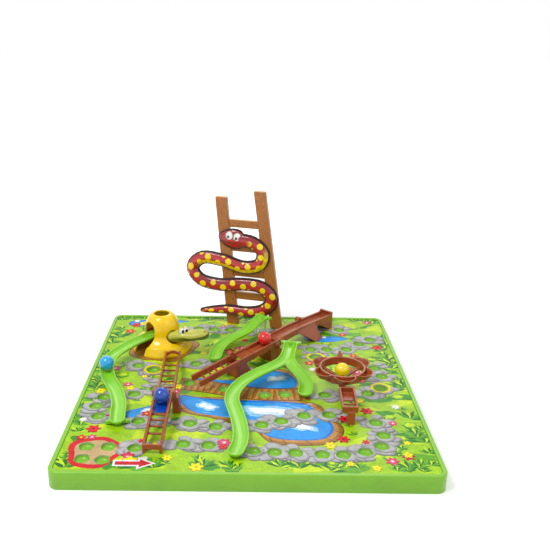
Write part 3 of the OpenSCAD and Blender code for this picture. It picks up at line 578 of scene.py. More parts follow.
class BOARD_OT_stage(bpy.types.Operator):
    """Lay the floor, set the lamps and place the camera"""

    bl_idname = "board.stage"
    bl_label = "Stage"

    def execute(self, context):
        scene = context.scene
        scene.view_settings.view_transform = "Standard"
        ends = (-FLOOR_HALF, FLOOR_HALF)
        corners = [(x, y, 0.0) for x in ends for y in ends]
        floor_mesh = plain_mesh("floor", corners, [(0, 2, 3, 1)])
        floor_mesh.materials.append(floor_paper())
        floor = add_object("floor", floor_mesh)
        scene.world = studio_world()
        for name, place, size, energy in LAMPS:
            lamp = bpy.data.lights.new(name, "AREA")
            lamp.size = size
            lamp.energy = energy
            obj = add_object(name, lamp)
            obj.location = place
            obj.rotation_euler = (LAMP_AIM - Vector(place)).to_track_quat("-Z", "Y").to_euler()
        camera_data = bpy.data.cameras.new("camera")
        camera_data.sensor_width = CAMERA_SENSOR
        camera_data.lens = CAMERA_LENS
        camera_data.shift_x = CAMERA_SHIFT
        camera_data.clip_end = 30.0
        camera = add_object("camera", camera_data)
        camera.matrix_world = camera_place()
        scene.camera = camera
        return {"FINISHED"}


# Sizes that the pieces share with the CAD model, in metres unless they are shares

CUP_R = 5.5 * MM
CUP_DEEP = 3.4 * MM
CARD_T = 1.0 * MM
DECK_T = 2.0 * MM
RIM_W = 3.5 * MM
CORNER_R = 8.0 * MM
WALL_T = 2.0 * MM
PEG_R = 2.0 * MM
PEG_LEN = 6.0 * MM
PEG_SIDES = 24  # flat sides of a round peg
SOCKET_WALL = 1.6 * MM
SLIDE_W = 13.0 * MM
SLIDE_DEEP = 5.0 * MM
SLIDE_T = 1.3 * MM
SEAT_GAP = 0.3 * MM
LIP_W = 20.0 * MM
LIP_T = 3.0 * MM
BOARD_H = TRAY_HIGH.z
DECK_TOP = CARD_TOP - CARD_T
DECK_LOW = DECK_TOP - DECK_T
CUP_FLOOR = CARD_TOP - CUP_DEEP

CUPS = [
    (-0.424, -0.378), (-0.366, -0.378), (-0.424, -0.434), (-0.371, -0.438), (-0.297, -0.383),
    (-0.172, -0.362), (-0.105, -0.366), (0.014, -0.39), (0.069, -0.395), (0.124, -0.397),
    (0.193, -0.403), (0.248, -0.403), (0.307, -0.39), (0.355, -0.362), (0.369, -0.309),
    (0.359, -0.245), (0.231, -0.205), (0.159, -0.21), (0.093, -0.241), (0.038, -0.262),
    (-0.09, -0.274), (-0.162, -0.259), (-0.307, -0.25), (-0.424, -0.226), (-0.441, -0.169),
    (-0.428, -0.117), (-0.341, -0.097), (-0.279, -0.062), (-0.355, 0.09), (-0.303, 0.062),
    (-0.183, -0.024), (-0.072, -0.062), (0.05, -0.095), (0.11, -0.09), (0.231, -0.09),
    (0.362, -0.078), (0.407, -0.043), (0.424, 0.033), (0.41, 0.093), (0.226, 0.166),
    (0.214, 0.224), (0.269, 0.224), (0.336, 0.228), (0.386, 0.272), (0.429, 0.31),
    (-0.169, 0.107), (-0.124, 0.383), (-0.066, 0.379), (-0.179, 0.386), (0.0, 0.372),
    (0.159, 0.379), (0.214, 0.386), (0.331, 0.39),
]
RIB_HALF = 0.8 * MM
RIB_FOOT = 7.0 * MM
RIBS = (-0.468, -0.328, -0.21, 0.182, 0.33, 0.452)

DOME_AT = (-0.293 * BOARD_W, 0.234 * BOARD_W)

# Slides: places along each one in shares of the board's side, with heights in shares of its own
DOME_ROUTE = [
    (-0.293, 0.234, 1), (-0.335, 0.198, 0.97), (-0.387, 0.147, 0.82), (-0.43, 0.078, 0.68),
    (-0.44, 0.014, 0.54), (-0.425, -0.052, 0.4), (-0.391, -0.123, 0.27), (-0.371, -0.185, 0.15),
    (-0.366, -0.231, 0.06), (-0.362, -0.266, 0),
]
REAR_ROUTE = [
    (0.05, 0.352, 1), (0.027, 0.318, 0.9), (-0.006, 0.269, 0.66), (-0.05, 0.237, 0.44),
    (-0.084, 0.205, 0.26), (-0.102, 0.168, 0.12), (-0.109, 0.128, 0),
]
FORK_ROUTE = [
    (0.138, 0.121, 1), (0.128, 0.065, 0.89), (0.112, 0.027, 0.75), (0.081, -0.003, 0.66),
    (0.034, -0.036, 0.55), (-0.012, -0.08, 0.44), (-0.04, -0.132, 0.34), (-0.047, -0.178, 0.28),
    (-0.04, -0.216, 0.22), (-0.028, -0.27, 0.16), (-0.02, -0.33, 0.1), (-0.022, -0.38, 0.04),
    (-0.032, -0.415, 0),
]
BRANCH_ROUTE = [
    (0.1285, 0.068, 0.893), (0.125, 0.027, 0.78), (0.142, -0.005, 0.56), (0.165, -0.038, 0.34),
    (0.175, -0.07, 0.16), (0.17, -0.101, 0),
]


def slide_route(shares, high):
    """A slide's route in real sizes, its top that high over the card."""
    low = SLIDE_DEEP + SEAT_GAP
    points = [
        Vector((BOARD_W * x, BOARD_W * y, CARD_TOP + low + share * (high - low))) for x, y, share in shares
    ]
    return spline(points, 10)


def trough_arc(half_w, deep):
    """Half an ellipse: a slide's underside or its channel."""
    angles = [math.pi + math.pi * k / 28 for k in range(29)]
    return [(half_w * math.cos(a), deep * math.sin(a)) for a in angles]


def bowl_profile(half_w, deep, top):
    """Half of a trough's section as a profile to turn."""
    angles = [math.pi / 2 * k / 14 for k in range(15)]
    arc = [(half_w * math.sin(a), -deep * math.cos(a)) for a in angles]
    return arc + ([(half_w, top)] if top else []) + [(0.0, top)]


def lobed_bar(width, depth, low, high):
    """A bar across with a lobe at each end, its edges drawn in at both heights."""
    outline = []
    for a in full_turn(48):
        u, v = math.cos(a), math.sin(a)
        lobe = 0.62 + 0.38 * abs(u) ** 3
        reach = (width / 2 - depth / 2) * math.copysign(abs(u) ** 0.7, u)
        outline.append((depth / 2 * v * lobe * 1.1, reach + depth / 2 * u))
    rings = []
    for grow, z in ((0.86, low), (1.0, low + 0.4 * MM), (1.0, high - 0.5 * MM), (0.84, high)):
        rings.append([(x * grow, y * (1 - (1 - grow) * 0.3), z) for x, y in outline])
    return loft("lip", rings)


def flared_lip():
    """The cross lip at a slide's top, flared from the channel's width to its own."""
    half = [
        (-LIP_T, LIP_W / 2),
        (0.0, LIP_W / 2 - 0.5 * MM),
        (1.2 * MM, 0.58 * SLIDE_W),
        (4.0 * MM, 0.49 * SLIDE_W),
    ]
    outline = [(x, -y) for x, y in half] + half[::-1] + [(-LIP_T / 2, 0.0)]
    return loft("lip", [[(x, y, z) for x, y in outline] for z in (-LIP_T, 0.0)])


def slide_mesh(name, routes, through_dome):
    """A slide and its branches: round bodies, their channels, a cross lip and pegs.

    The one through the dome starts round and has its lip at its foot, the others at their top.
    """
    solids, hollows = [], []
    over = SLIDE_DEEP
    inner_w, inner_deep = SLIDE_W / 2 - SLIDE_T, SLIDE_DEEP - SLIDE_T
    for route in routes:
        solids.append(swept("solid", route, trough_arc(SLIDE_W / 2, SLIDE_DEEP)))
        hollow = [(-inner_w, over)] + trough_arc(inner_w, inner_deep) + [(inner_w, over)]
        hollows.append(swept("hollow", route, hollow))
        for end in ([route[-1], route[0]] if through_dome else [route[-1]]):
            solids.append(turned("solid", bowl_profile(SLIDE_W / 2, SLIDE_DEEP, 0.0), end))
            hollows.append(turned("hollow", bowl_profile(inner_w, inner_deep, over), end))
    main = routes[0]
    start, foot = main[0], main[-1]
    if through_dome:
        lip = lobed_bar(LIP_W, 1.3 * LIP_T, -SLIDE_DEEP, -0.3 * SLIDE_DEEP)
        solids.append(moved(lip, placed(foot, heading(main, len(main) - 1), foot.z)))
    else:
        solids.append(moved(flared_lip(), placed(start, heading(main, 0), start.z)))
    base = carved(united(solids), united(hollows))
    base.name = name
    feet = [(route[-1], CARD_TOP + SEAT_GAP + SLIDE_T / 2) for route in routes]
    if through_dome:
        feet.append((start, start.z - SLIDE_DEEP + SLIDE_T / 2))
    tip, shoulder = CARD_TOP - PEG_LEN, CARD_TOP - 0.9 * PEG_LEN
    meshes = [softened(base, 0.42 * MM, 6)]
    for at, top in feet:
        profile = [(0.0, tip), (0.8 * PEG_R, tip), (PEG_R, shoulder), (PEG_R, top), (0.0, top)]
        meshes.append(turned("peg", profile, (at.x, at.y, 0.0), PEG_SIDES))
    return joined(name, meshes)


class BOARD_OT_slides(bpy.types.Operator):
    """Make the three slides, their channels, lips and pegs"""

    bl_idname = "board.slides"
    bl_label = "Slides"

    def execute(self, context):
        colour = context.scene.board_colours.slide
        plastic = moulded_plastic("slide_plastic", colour, 0.2, 0.05, 0.4, 0.08)
        for node, shares, high in (
            ("dome_slide", [DOME_ROUTE], 17.5),
            ("rear_slide", [REAR_ROUTE], 20.0),
            ("fork_slide", [FORK_ROUTE, BRANCH_ROUTE], 22.0),
        ):
            name = node + "_moulding"
            mesh = slide_mesh(name, [slide_route(s, high * MM) for s in shares], node == "dome_slide")
            finish_piece(mesh, name, "board", plastic, [node])
        return {"FINISHED"}


# Tray and its cups

DECK_GREEN = (0.2, 0.5, 0.03)


def round_square(width, radius):
    """Points of a square with round corners."""
    points = []
    half = width / 2 - radius
    for corner, (sx, sy) in enumerate(((1, 1), (-1, 1), (-1, -1), (1, -1))):
        for k in range(11):
            a = math.pi / 2 * (corner + k / 10)
            points.append((sx * half + radius * math.cos(a), sy * half + radius * math.sin(a)))
    return points


def waved(a, waves):
    """Growth of a radius at an angle; waves are (number, size, phase)."""
    return 1 + sum(size * math.sin(number * a + phase) for number, size, phase in waves)


def ring_of(x, y, radius, count=28, waves=()):
    """Points round a place, with waves in the radius."""
    points = []
    for a in full_turn(count):
        r = radius * waved(a, waves)
        points.append((x + r * math.cos(a), y + r * math.sin(a)))
    return points


def oval(x, y, rx, ry, turn=0.0, count=16, waves=()):
    """An ellipse turned on the card, with waves in its outline."""
    points = []
    c, s = math.cos(turn), math.sin(turn)
    for a in full_turn(count):
        grow = waved(a, waves)
        u, v = rx * grow * math.cos(a), ry * grow * math.sin(a)
        points.append((x + u * c - v * s, y + u * s + v * c))
    return points


def is_inside(outline, x, y):
    """Whether a point lies inside a closed outline."""
    inside = False
    bx, by = outline[-1]
    for ax, ay in outline:
        if (ay > y) != (by > y) and x < (bx - ax) * (y - ay) / (by - ay) + ax:
            inside = not inside
        bx, by = ax, ay
    return inside


def signed_area(ring):
    """Twice the area inside a ring of points, below zero where it runs clockwise."""
    return sum(a[0] * b[1] - b[0] * a[1] for a, b in zip(ring, ring[1:] + ring[:1]))


def triangulated(points, rings, near):
    """Triangles inside rings of a list of points: points, triangles, their origins and owners."""
    inside_only = 1
    result = geometry.delaunay_2d_cdt(points, [], rings, inside_only, near, True)
    return result[0], result[2], result[3], result[5]


def open_rims(tris):
    """Loops of the edges that only one triangle has, each run as in its triangle."""
    following = {}
    for tri in tris:
        for a, b in zip(tri, (tri[1], tri[2], tri[0])):
            if following.get(b) and a in following[b]:
                following[b].remove(a)
            else:
                following.setdefault(a, []).append(b)
    starts = {a: ends[0] for a, ends in following.items() if ends}
    rims = []
    while starts:
        rim, at = [], next(iter(starts))
        while at in starts:
            rim.append(at)
            at = starts.pop(at)
        rims.append(rim)
    return rims


def underside(points, rims):
    """Triangles between the outer rim and the holes, that look down."""
    spots, sources, outlines = [], [], []
    for rim in rims:
        area = signed_area([points[i] for i in rim])
        ring = list(range(len(spots), len(spots) + len(rim)))
        outlines.append((abs(area), ring if area > 0 else ring[::-1]))
        spots += [points[i] for i in rim]
        sources += rim
    outlines.sort(key=lambda pair: -pair[0])
    _, tris, origins, owners = triangulated(spots, [ring for _, ring in outlines], 1e-9)
    solid = [tri for tri, owner in zip(tris, owners) if owner == [0]]
    return [[sources[origins[i][0]] for i in reversed(tri)] for tri in solid]


def printed_plate(name, low, high, shapes, holes, base_colour):
    """A plate with holes whose top carries printed shapes, the later over the earlier ones.

    Each shape is (outline, colour); the first one is the plate's own outline.
    """
    verts, rings = [], []
    for outline in [shape for shape, _ in shapes] + holes:
        outline = outline if signed_area(outline) > 0 else outline[::-1]
        rings.append(list(range(len(verts), len(verts) + len(outline))))
        verts += [Vector(p) for p in outline]
    points, tris, _, owners = triangulated(verts, rings, 1e-6)
    work = bmesh.new()
    paint = work.loops.layers.float_color.new("print")
    top = [work.verts.new((p.x, p.y, high)) for p in points]

    def add_face(corners, colour):
        """A face whose corners all carry one colour."""
        for loop in work.faces.new(corners).loops:
            loop[paint] = (*colour, 1.0)

    kept = [(tri, owner) for tri, owner in zip(tris, owners) if 0 in owner and max(owner) < len(shapes)]
    for tri, owner in kept:
        x, y = sum((points[i] for i in tri), Vector((0.0, 0.0))) / 3
        upper = next((k for k in sorted(owner, reverse=True) if is_inside(shapes[k][0], x, y)), 0)
        add_face([top[i] for i in tri], shapes[upper][1])
    rims = open_rims([tri for tri, _ in kept])
    bottom = {i: work.verts.new((points[i].x, points[i].y, low)) for rim in rims for i in rim}
    for tri in underside(points, rims):
        add_face([bottom[i] for i in tri], base_colour)
    for rim in rims:
        for a, b in zip(rim, rim[1:] + rim[:1]):
            add_face([top[b], top[a], bottom[a], bottom[b]], base_colour)
    for vert in [v for v in work.verts if not v.link_faces]:
        work.verts.remove(vert)
    mesh = bpy.data.meshes.new(name)
    work.to_mesh(mesh)
    work.free()
    return mesh


def copies_at(name, shape, places, material):
    """One mesh with the shape at each place, made by Geometry Nodes."""
    tree = bpy.data.node_groups.new(name + "_copies", "GeometryNodeTree")

    def entrance(label, kind):
        """An input of the tree."""
        return tree.interface.new_socket(label, in_out="INPUT", socket_type="NodeSocket" + kind)

    entrance("Geometry", "Geometry")
    shape_socket = entrance("Shape", "Object")
    size_socket = entrance("Size", "Float")
    finish_socket = entrance("Finish", "Material")
    tree.interface.new_socket("Geometry", in_out="OUTPUT", socket_type="NodeSocketGeometry")
    entry, leave, info, on_points, real, finish = (
        tree.nodes.new(kind)
        for kind in (
            "NodeGroupInput", "NodeGroupOutput", "GeometryNodeObjectInfo",
            "GeometryNodeInstanceOnPoints", "GeometryNodeRealizeInstances", "GeometryNodeSetMaterial",
        )
    )
    for source, out, target, into in (
        (entry, "Shape", info, "Object"),
        (entry, "Geometry", on_points, "Points"),
        (info, "Geometry", on_points, "Instance"),
        (entry, "Size", on_points, "Scale"),
        (on_points, "Instances", real, "Geometry"),
        (real, "Geometry", finish, "Geometry"),
        (entry, "Finish", finish, "Material"),
        (finish, "Geometry", leave, "Geometry"),
    ):
        tree.links.new(source.outputs[out], target.inputs[into])
    pattern = add_object(name + "_shape", shape)
    obj = add_object("work", plain_mesh(name + "_places", places, []))
    modifier = obj.modifiers.new("copies", "NODES")
    modifier.node_group = tree
    modifier[shape_socket.identifier] = pattern
    modifier[size_socket.identifier] = 1.0
    modifier[finish_socket.identifier] = material
    mesh = applied(obj, name)
    bpy.data.objects.remove(pattern)
    return mesh


PLUG_INS = (
    "dome_shell", "dome_slide", "rear_slide", "fork_slide", "rear_slide_post", "fork_slide_post",
    "front_ladder", "long_ladder", "long_channel", "flower_stalk", "standee_left_rail",
    "standee_right_rail",
)


def peg_places():
    """Places of the pegs on the board, read from the feet of the pieces that plug in."""
    feet = []
    for node in PLUG_INS:
        for vert in NODES[node].data.vertices:
            if vert.co.z > CARD_TOP - PEG_LEN + 0.1 * MM:
                continue
            spot = Vector(vert.co.xy)
            near = next((foot for foot in feet if (foot[0] - spot).length < 2.5 * PEG_R), None)
            if near:
                near.append(spot)
            else:
                feet.append([spot])
    ends = [[(min(p[i] for p in foot), max(p[i] for p in foot)) for i in (0, 1)] for foot in feet]
    return [Vector((sum(across), sum(along))) / 2 for across, along in ends]


def rib_runs(side, cups, half):
    """Stretches along a rib between the tray's walls where no cup is in its way."""
    reach = CUP_R + RIB_HALF
    runs, start = [], -half
    for along in sorted(v for u, v in cups if abs(u - side) < reach):
        if along - reach > start:
            runs.append((start, along - reach))
        start = along + reach
    return runs + [(start, half)]


def tray_rim(edge):
    """The tray's wall with its rim, rounded by an edge radius."""
    profile = [(WALL_T, 0.0), (0.3 * edge, 0.0), (0.0, 0.5 * edge)]
    quarter = [math.pi / 2 * k / 4 for k in range(5)]
    profile += [(edge * (1 - math.cos(a)), BOARD_H - edge + edge * math.sin(a)) for a in quarter]
    profile += [(RIM_W - edge * (1 - math.sin(a)), BOARD_H - edge + edge * math.cos(a)) for a in quarter]
    profile += [(RIM_W, DECK_TOP - DECK_T / 2), (WALL_T, DECK_TOP - DECK_T / 2)]
    rings = []
    for inset, z in profile:
        outline = round_square(BOARD_W - 2 * inset, CORNER_R - inset)
        rings.append([(x, y, z) for x, y in outline])
    return loft("rim", rings, loop=True)


def cup_shape():
    """A cup for a ball: a thin bowl that hangs below the deck."""
    wall_out = CUP_R + 1.0 * MM
    profile = [
        (0.0, CUP_FLOOR - DECK_T), (CUP_R - 1.2 * MM, CUP_FLOOR - DECK_T),
        (CUP_R + 0.6 * MM, CUP_FLOOR - 0.8 * MM), (wall_out, DECK_LOW + 0.5 * MM),
        (wall_out, DECK_TOP), (CUP_R + 0.1 * MM, DECK_TOP),
    ]
    deep = DECK_TOP - CUP_FLOOR - 0.1 * MM
    for k in range(7):
        a = math.pi / 2 * k / 6
        profile.append((CUP_R * (0.45 + 0.53 * math.cos(a)), CUP_FLOOR + deep * (1 - math.sin(a))))
    profile.append((0.0, CUP_FLOOR))
    return turned("cup", profile, segments=32)


def socket_shape():
    """A socket for a peg: a tube below the deck with a closed foot."""
    wall, bore = PEG_R + SOCKET_WALL, PEG_R + 0.1 * MM
    foot = CARD_TOP - PEG_LEN - SOCKET_WALL
    floor_z = foot + 1.5 * MM
    profile = [(0.0, foot), (wall, foot), (wall, DECK_TOP), (bore, DECK_TOP), (bore, floor_z), (0.0, floor_z)]
    return turned("socket", profile, segments=20)


class BOARD_OT_tray(bpy.types.Operator):
    """Make the moulded tray with its rim, cups, sockets and ribs"""

    bl_idname = "board.tray"
    bl_label = "Tray"

    def execute(self, context):
        plastic = moulded_plastic("tray_plastic", context.scene.board_colours.tray, 0.32, 0.04, 0.2)
        cups = [(BOARD_W * x, BOARD_W * y) for x, y in CUPS]
        sockets = [tuple(p) for p in peg_places()]
        holes = [ring_of(x, y, CUP_R + 0.5 * MM) for x, y in cups]
        holes += [ring_of(x, y, PEG_R + 0.5 * MM, 20) for x, y in sockets]
        outline = round_square(BOARD_W - 2 * WALL_T - 1.0 * MM, CORNER_R - WALL_T)
        parts = [
            tray_rim(2 * context.scene.board_sizes.edge_round),
            printed_plate("deck", DECK_LOW, DECK_TOP, [(outline, DECK_GREEN)], holes, DECK_GREEN),
            copies_at("cups", cup_shape(), [(x, y, 0.0) for x, y in cups], plastic),
            copies_at("sockets", socket_shape(), [(x, y, 0.0) for x, y in sockets], plastic),
        ]
        half = BOARD_W / 2 - WALL_T / 2
        under_cups, under_deck = CUP_FLOOR - 0.5 * MM, DECK_LOW + 1.0 * MM
        rib = block("rib", (-RIB_HALF, -half, RIB_FOOT), (RIB_HALF, half, under_cups))
        parts.append(copies_at("ribs_long", rib, [(s * BOARD_W, 0.0, 0.0) for s in RIBS], plastic))
        rib = block("rib", (-half, -RIB_HALF, RIB_FOOT), (half, RIB_HALF, under_cups))
        parts.append(copies_at("ribs_cross", rib, [(0.0, s * BOARD_W, 0.0) for s in RIBS], plastic))
        for share in RIBS:
            low, high = share * BOARD_W - RIB_HALF, share * BOARD_W + RIB_HALF
            for a, b in rib_runs(share * BOARD_W, cups, half):
                parts.append(block("web", (low, a, RIB_FOOT), (high, b, under_deck)))
            for a, b in rib_runs(share * BOARD_W, [(y, x) for x, y in cups], half):
                parts.append(block("web", (a, low, RIB_FOOT), (b, high, under_deck)))
        mesh = joined("tray_moulding", parts)
        finish_piece(mesh, "tray_moulding", "board", plastic, ["base_tray"], 35)
        return {"FINISHED"}


# Card: a meadow with a stream, stepping stones round the cups, planks and flowers

GRASS = (0.34, 0.61, 0.008)
GRASS_LIGHT = (0.56, 0.76, 0.012)
GRASS_MID = (0.13, 0.42, 0.012)
CUP_GREEN = (0.1, 0.36, 0.015)
LEAF_DARK = (0.012, 0.16, 0.01)
LEAF_MID = (0.05, 0.3, 0.012)
STONE_EDGE = (0.12, 0.12, 0.115)
STONE = (0.33, 0.33, 0.33)
STONE_LIGHT = (0.46, 0.46, 0.46)
WATER_DEEP = (0.0, 0.17, 0.62)
WATER = (0.01, 0.32, 0.85)
WATER_PALE = (0.3, 0.65, 0.95)
FOAM = (0.9, 0.95, 1.0)
PLANK = (0.36, 0.15, 0.02)
PLANK_LIGHT = (0.55, 0.26, 0.045)
PLANK_DARK = (0.12, 0.035, 0.006)
EARTH = (0.42, 0.2, 0.035)
SAND = (0.55, 0.38, 0.18)
BRONZE = (0.45, 0.25, 0.0)
PETAL_RED = (0.66, 0.01, 0.02)
PETAL_YELLOW = (0.95, 0.75, 0.0)
PETAL_WHITE = (0.9, 0.9, 0.85)
PETAL_PINK = (0.7, 0.05, 0.15)
CARD_BACK = (0.5, 0.47, 0.4)
FLOWER_KINDS = (
    (PETAL_RED, PETAL_YELLOW), (PETAL_YELLOW, (0.8, 0.4, 0.0)), (PETAL_WHITE, PETAL_YELLOW),
    (PETAL_YELLOW, (0.8, 0.45, 0.0)), (PETAL_RED, (0.2, 0.0, 0.0)), (PETAL_PINK, PETAL_WHITE),
)

PLANKED_WATERS = (
    [
        (-0.2, -0.105), (-0.13, -0.12), (-0.02, -0.13), (0.09, -0.135), (0.17, -0.15), (0.2, -0.2),
        (0.235, -0.27), (0.2, -0.33), (0.1, -0.335), (0.045, -0.31), (0.01, -0.25), (-0.08, -0.22),
        (-0.15, -0.2), (-0.19, -0.155),
    ],
    [
        (-0.17, -0.02), (-0.06, -0.035), (0.03, -0.05), (0.13, -0.05), (0.15, -0.01), (0.12, 0.045),
        (0.05, 0.06), (0.02, 0.02), (-0.06, -0.005), (-0.15, 0.005),
    ],
)
OPEN_WATERS = (
    [
        (-0.345, -0.2), (-0.28, -0.165), (-0.255, -0.12), (-0.23, -0.13), (-0.25, -0.185),
        (-0.3, -0.23), (-0.335, -0.245),
    ],
    [(-0.43, 0.41), (-0.36, 0.405), (-0.3, 0.425), (-0.22, 0.45), (-0.3, 0.46), (-0.42, 0.45)],
    [(0.2, 0.3), (0.26, 0.285), (0.32, 0.295), (0.35, 0.32), (0.27, 0.33), (0.21, 0.325)],
)
REFLECTIONS = (
    (0.06, -0.19, 24, 9, -0.1), (-0.12, -0.165, 10, 6, -0.5), (0.15, -0.27, 13, 6, -0.3),
    (0.09, 0.01, 10, 5, 0.2), (-0.29, -0.19, 6, 3, 0.6),
)
WALK = [(-0.215, -0.03), (-0.14, -0.045), (-0.06, -0.068), (0.03, -0.09), (0.11, -0.092), (0.185, -0.088)]
CURVE_STEPS = 8

# Cups that have no stone of their own, by their place in the list
CUPS_ON_WALK = {30, 31, 32, 33}
CUPS_IN_YELLOW = {29, 36, 39}
CUPS_AT_START = {0, 1, 2, 3}


def blob(points):
    """A smooth closed outline through points on the card, given in shares of its side."""
    ring = [Vector(p) * BOARD_W for p in points]
    count = len(ring)
    outline = []
    for i in range(count):
        a, b, c, d = (ring[(i + k - 1) % count] for k in range(4))
        outline += [tuple(curve_point(a, b, c, d, s / CURVE_STEPS)) for s in range(CURVE_STEPS)]
    return outline


def grown(outline, by, shift=(0.0, 0.0)):
    """An outline grown from its middle by a length, then shifted."""
    centre = sum((Vector(p) for p in outline), Vector((0.0, 0.0))) / len(outline)
    result = []
    for p in outline:
        step = Vector(p) - centre
        result.append(tuple(centre + step * (1 + by / max(step.length, 8 * MM)) + Vector(shift)))
    return result


def ribbon(points, widths):
    """A smooth band along points on the card, wide as told at each of them."""
    stops = [Vector((x * BOARD_W, y * BOARD_W, w * BOARD_W)) for (x, y), w in zip(points, widths)]
    route = spline(stops, CURVE_STEPS)
    left, right = [], []
    for i, p in enumerate(route):
        a = heading(route, i)
        across = Vector((-math.sin(a), math.cos(a)))
        left.append(tuple(Vector((p.x, p.y)) + across * p.z / 2))
        right.append(tuple(Vector((p.x, p.y)) - across * p.z / 2))
    return left + right[::-1]


def strip_across(middle, angle, low, high, half):
    """A strip across a walk, between two distances along it from one of its points."""
    c, s = math.cos(angle), math.sin(angle)
    return [
        (middle.x + u * c - v * s, middle.y + u * s + v * c)
        for u, v in ((low, -half), (high, -half), (high, half), (low, half))
    ]


def scatter(seed):
    """A repeatable stream of numbers from 0 to 1."""
    state = seed
    while True:
        state = (state * 1103515245 + 12345) % 2147483648
        yield state / 2147483648


def leaf(x, y, length, width, angle):
    """A pointed leaf from its foot."""
    shape = [(0, 0), (0.3, 0.5), (0.65, 0.42), (1, 0), (0.62, -0.38), (0.28, -0.45)]
    c, s = math.cos(angle), math.sin(angle)
    return [(x + length * u * c - width * v * s, y + length * u * s + width * v * c) for u, v in shape]


def near_cup(x, y):
    """Distance from a place on the card to the nearest cup's middle, in shares of its side."""
    return min(math.hypot(x - cx, y - cy) for cx, cy in CUPS)


def is_open_meadow(x, y, gap):
    """Whether a place, in shares, lies off the water, the cups and the dome's clearing."""
    wet = -0.21 < x < 0.25 and -0.35 < y < 0.05
    clearing = math.hypot(x - DOME_AT[0] / BOARD_W, y - DOME_AT[1] / BOARD_W) < 0.13
    return near_cup(x, y) > gap and not wet and not clearing


def ground_shapes(draw):
    """Soft patches of grass, round bushes and leaf tufts, dense along the card's edges."""
    size = BOARD_W
    shapes = []
    for _ in range(110):
        x, y = draw(-0.47, 0.47) * size, draw(-0.47, 0.47) * size
        wave = ((3, 0.16, draw(0, 6)), (5, 0.1, draw(0, 6)))
        colour = (GRASS_LIGHT, GRASS_MID, GRASS_LIGHT, LEAF_MID)[int(draw(0, 3.99))]
        shapes.append((oval(x, y, draw(6, 17) * MM, draw(3, 8) * MM, draw(-0.5, 0.5), 20, wave), colour))
    for _ in range(90):
        x, y = draw(-0.47, 0.47), draw(-0.47, 0.47)
        if not is_open_meadow(x, y, 0.03):
            continue
        r = draw(3, 6) * MM
        wave = ((6, 0.12, draw(0, 6)),)
        for up, wide, tall, colour in (
            (-0.8 * MM, 1.25, 1.0, LEAF_DARK), (0.0, 1.2, 0.92, GRASS_MID), (0.6 * MM, 0.9, 0.6, GRASS_LIGHT),
        ):
            shapes.append((oval(x * size, y * size + up, r * wide, r * tall, 0.0, 26, wave), colour))
    for k in range(230):
        if k % 2:
            along = -0.47 + 0.94 * draw(0, 1)
            x, y = ((along, -0.465), (0.465, along), (along, 0.468), (-0.465, along))[k // 2 % 4]
            x, y, length = x + draw(-0.012, 0.012), y + draw(-0.012, 0.012), draw(7, 17) * MM
        else:
            x, y, length = draw(-0.46, 0.46), draw(-0.46, 0.46), draw(4, 9) * MM
            if not is_open_meadow(x, y, 0.03):
                continue
        lean = draw(-0.5, 0.5)
        for n in range(7):
            a = math.pi / 2 + lean + (n - 3) * 0.4
            colour = (LEAF_DARK, LEAF_MID, GRASS_MID, LEAF_DARK, GRASS_LIGHT)[(n + k) % 5]
            shapes.append((leaf(x * size, y * size, length * draw(0.7, 1.1), length * 0.24, a), colour))
    return shapes


def plank_bank(water):
    """A bank of planks round an outline of water."""
    shapes = [
        (grown(water, 9 * MM, (0.0, -1.5 * MM)), PLANK_DARK),
        (grown(water, 8.2 * MM, (0.0, -1.1 * MM)), PLANK),
        (grown(water, 5 * MM), PLANK_LIGHT),
    ]
    rim, inner = grown(water, 8.6 * MM, (0.0, -1.3 * MM)), grown(water, 1.0 * MM)
    for k in range(0, len(water), 5):
        a, b = Vector(rim[k]), Vector(inner[k])
        side = (b - a).orthogonal().normalized() * 0.3 * MM
        shapes.append(([tuple(p) for p in (a - side, a + side, b + side, b - side)], PLANK_DARK))
    return shapes


def water_shapes(draw):
    """The pond, the brooks and their plank banks, with pale reflections, and the walk over them."""
    size = BOARD_W
    shapes = []
    for points in PLANKED_WATERS + OPEN_WATERS:
        water = blob(points)
        if points in PLANKED_WATERS:
            shapes += plank_bank(water)
        shapes.append((grown(water, 0.8 * MM), WATER_DEEP))
        shapes.append((grown(water, -1.8 * MM, (0.0, -0.6 * MM)), WATER))
    for x, y, rx, ry, turn in REFLECTIONS:
        wave = ((4, 0.14, x * 60), (7, 0.1, y * 50))
        shapes.append((oval(x * size, y * size, rx * MM, ry * MM, turn, 30, wave), WATER_PALE))
        shapes.append((oval(x * size, y * size, rx * 0.72 * MM, ry * 0.6 * MM, turn, 30, wave), FOAM))
    for _ in range(34):
        x, y = draw(-0.16, 0.2) * size, draw(-0.31, -0.13) * size
        if abs(y / size + 0.14 + 0.4 * x / size) < 0.12:
            shapes.append((oval(x, y, draw(2, 5) * MM, draw(0.3, 0.6) * MM, draw(-0.4, 0.2), 10), WATER_PALE))
    shapes.append((ribbon(WALK, [0.075] * 6), PLANK_DARK))
    shapes.append((ribbon(WALK, [0.068] * 6), PLANK))
    walk = spline([Vector((x, y, 0.0)) * size for x, y in WALK], 4)
    half = 0.032 * size
    for i in range(1, len(walk) - 1):
        a = heading(walk, i) + draw(-0.1, 0.1)
        edge = draw(1.2, 2.2) * MM
        shapes.append((strip_across(walk[i], a, -draw(1.2, 2.2) * MM, edge, half), PLANK_LIGHT))
        shapes.append((strip_across(walk[i], a, edge, edge + 0.5 * MM, half), PLANK_DARK))
    return shapes


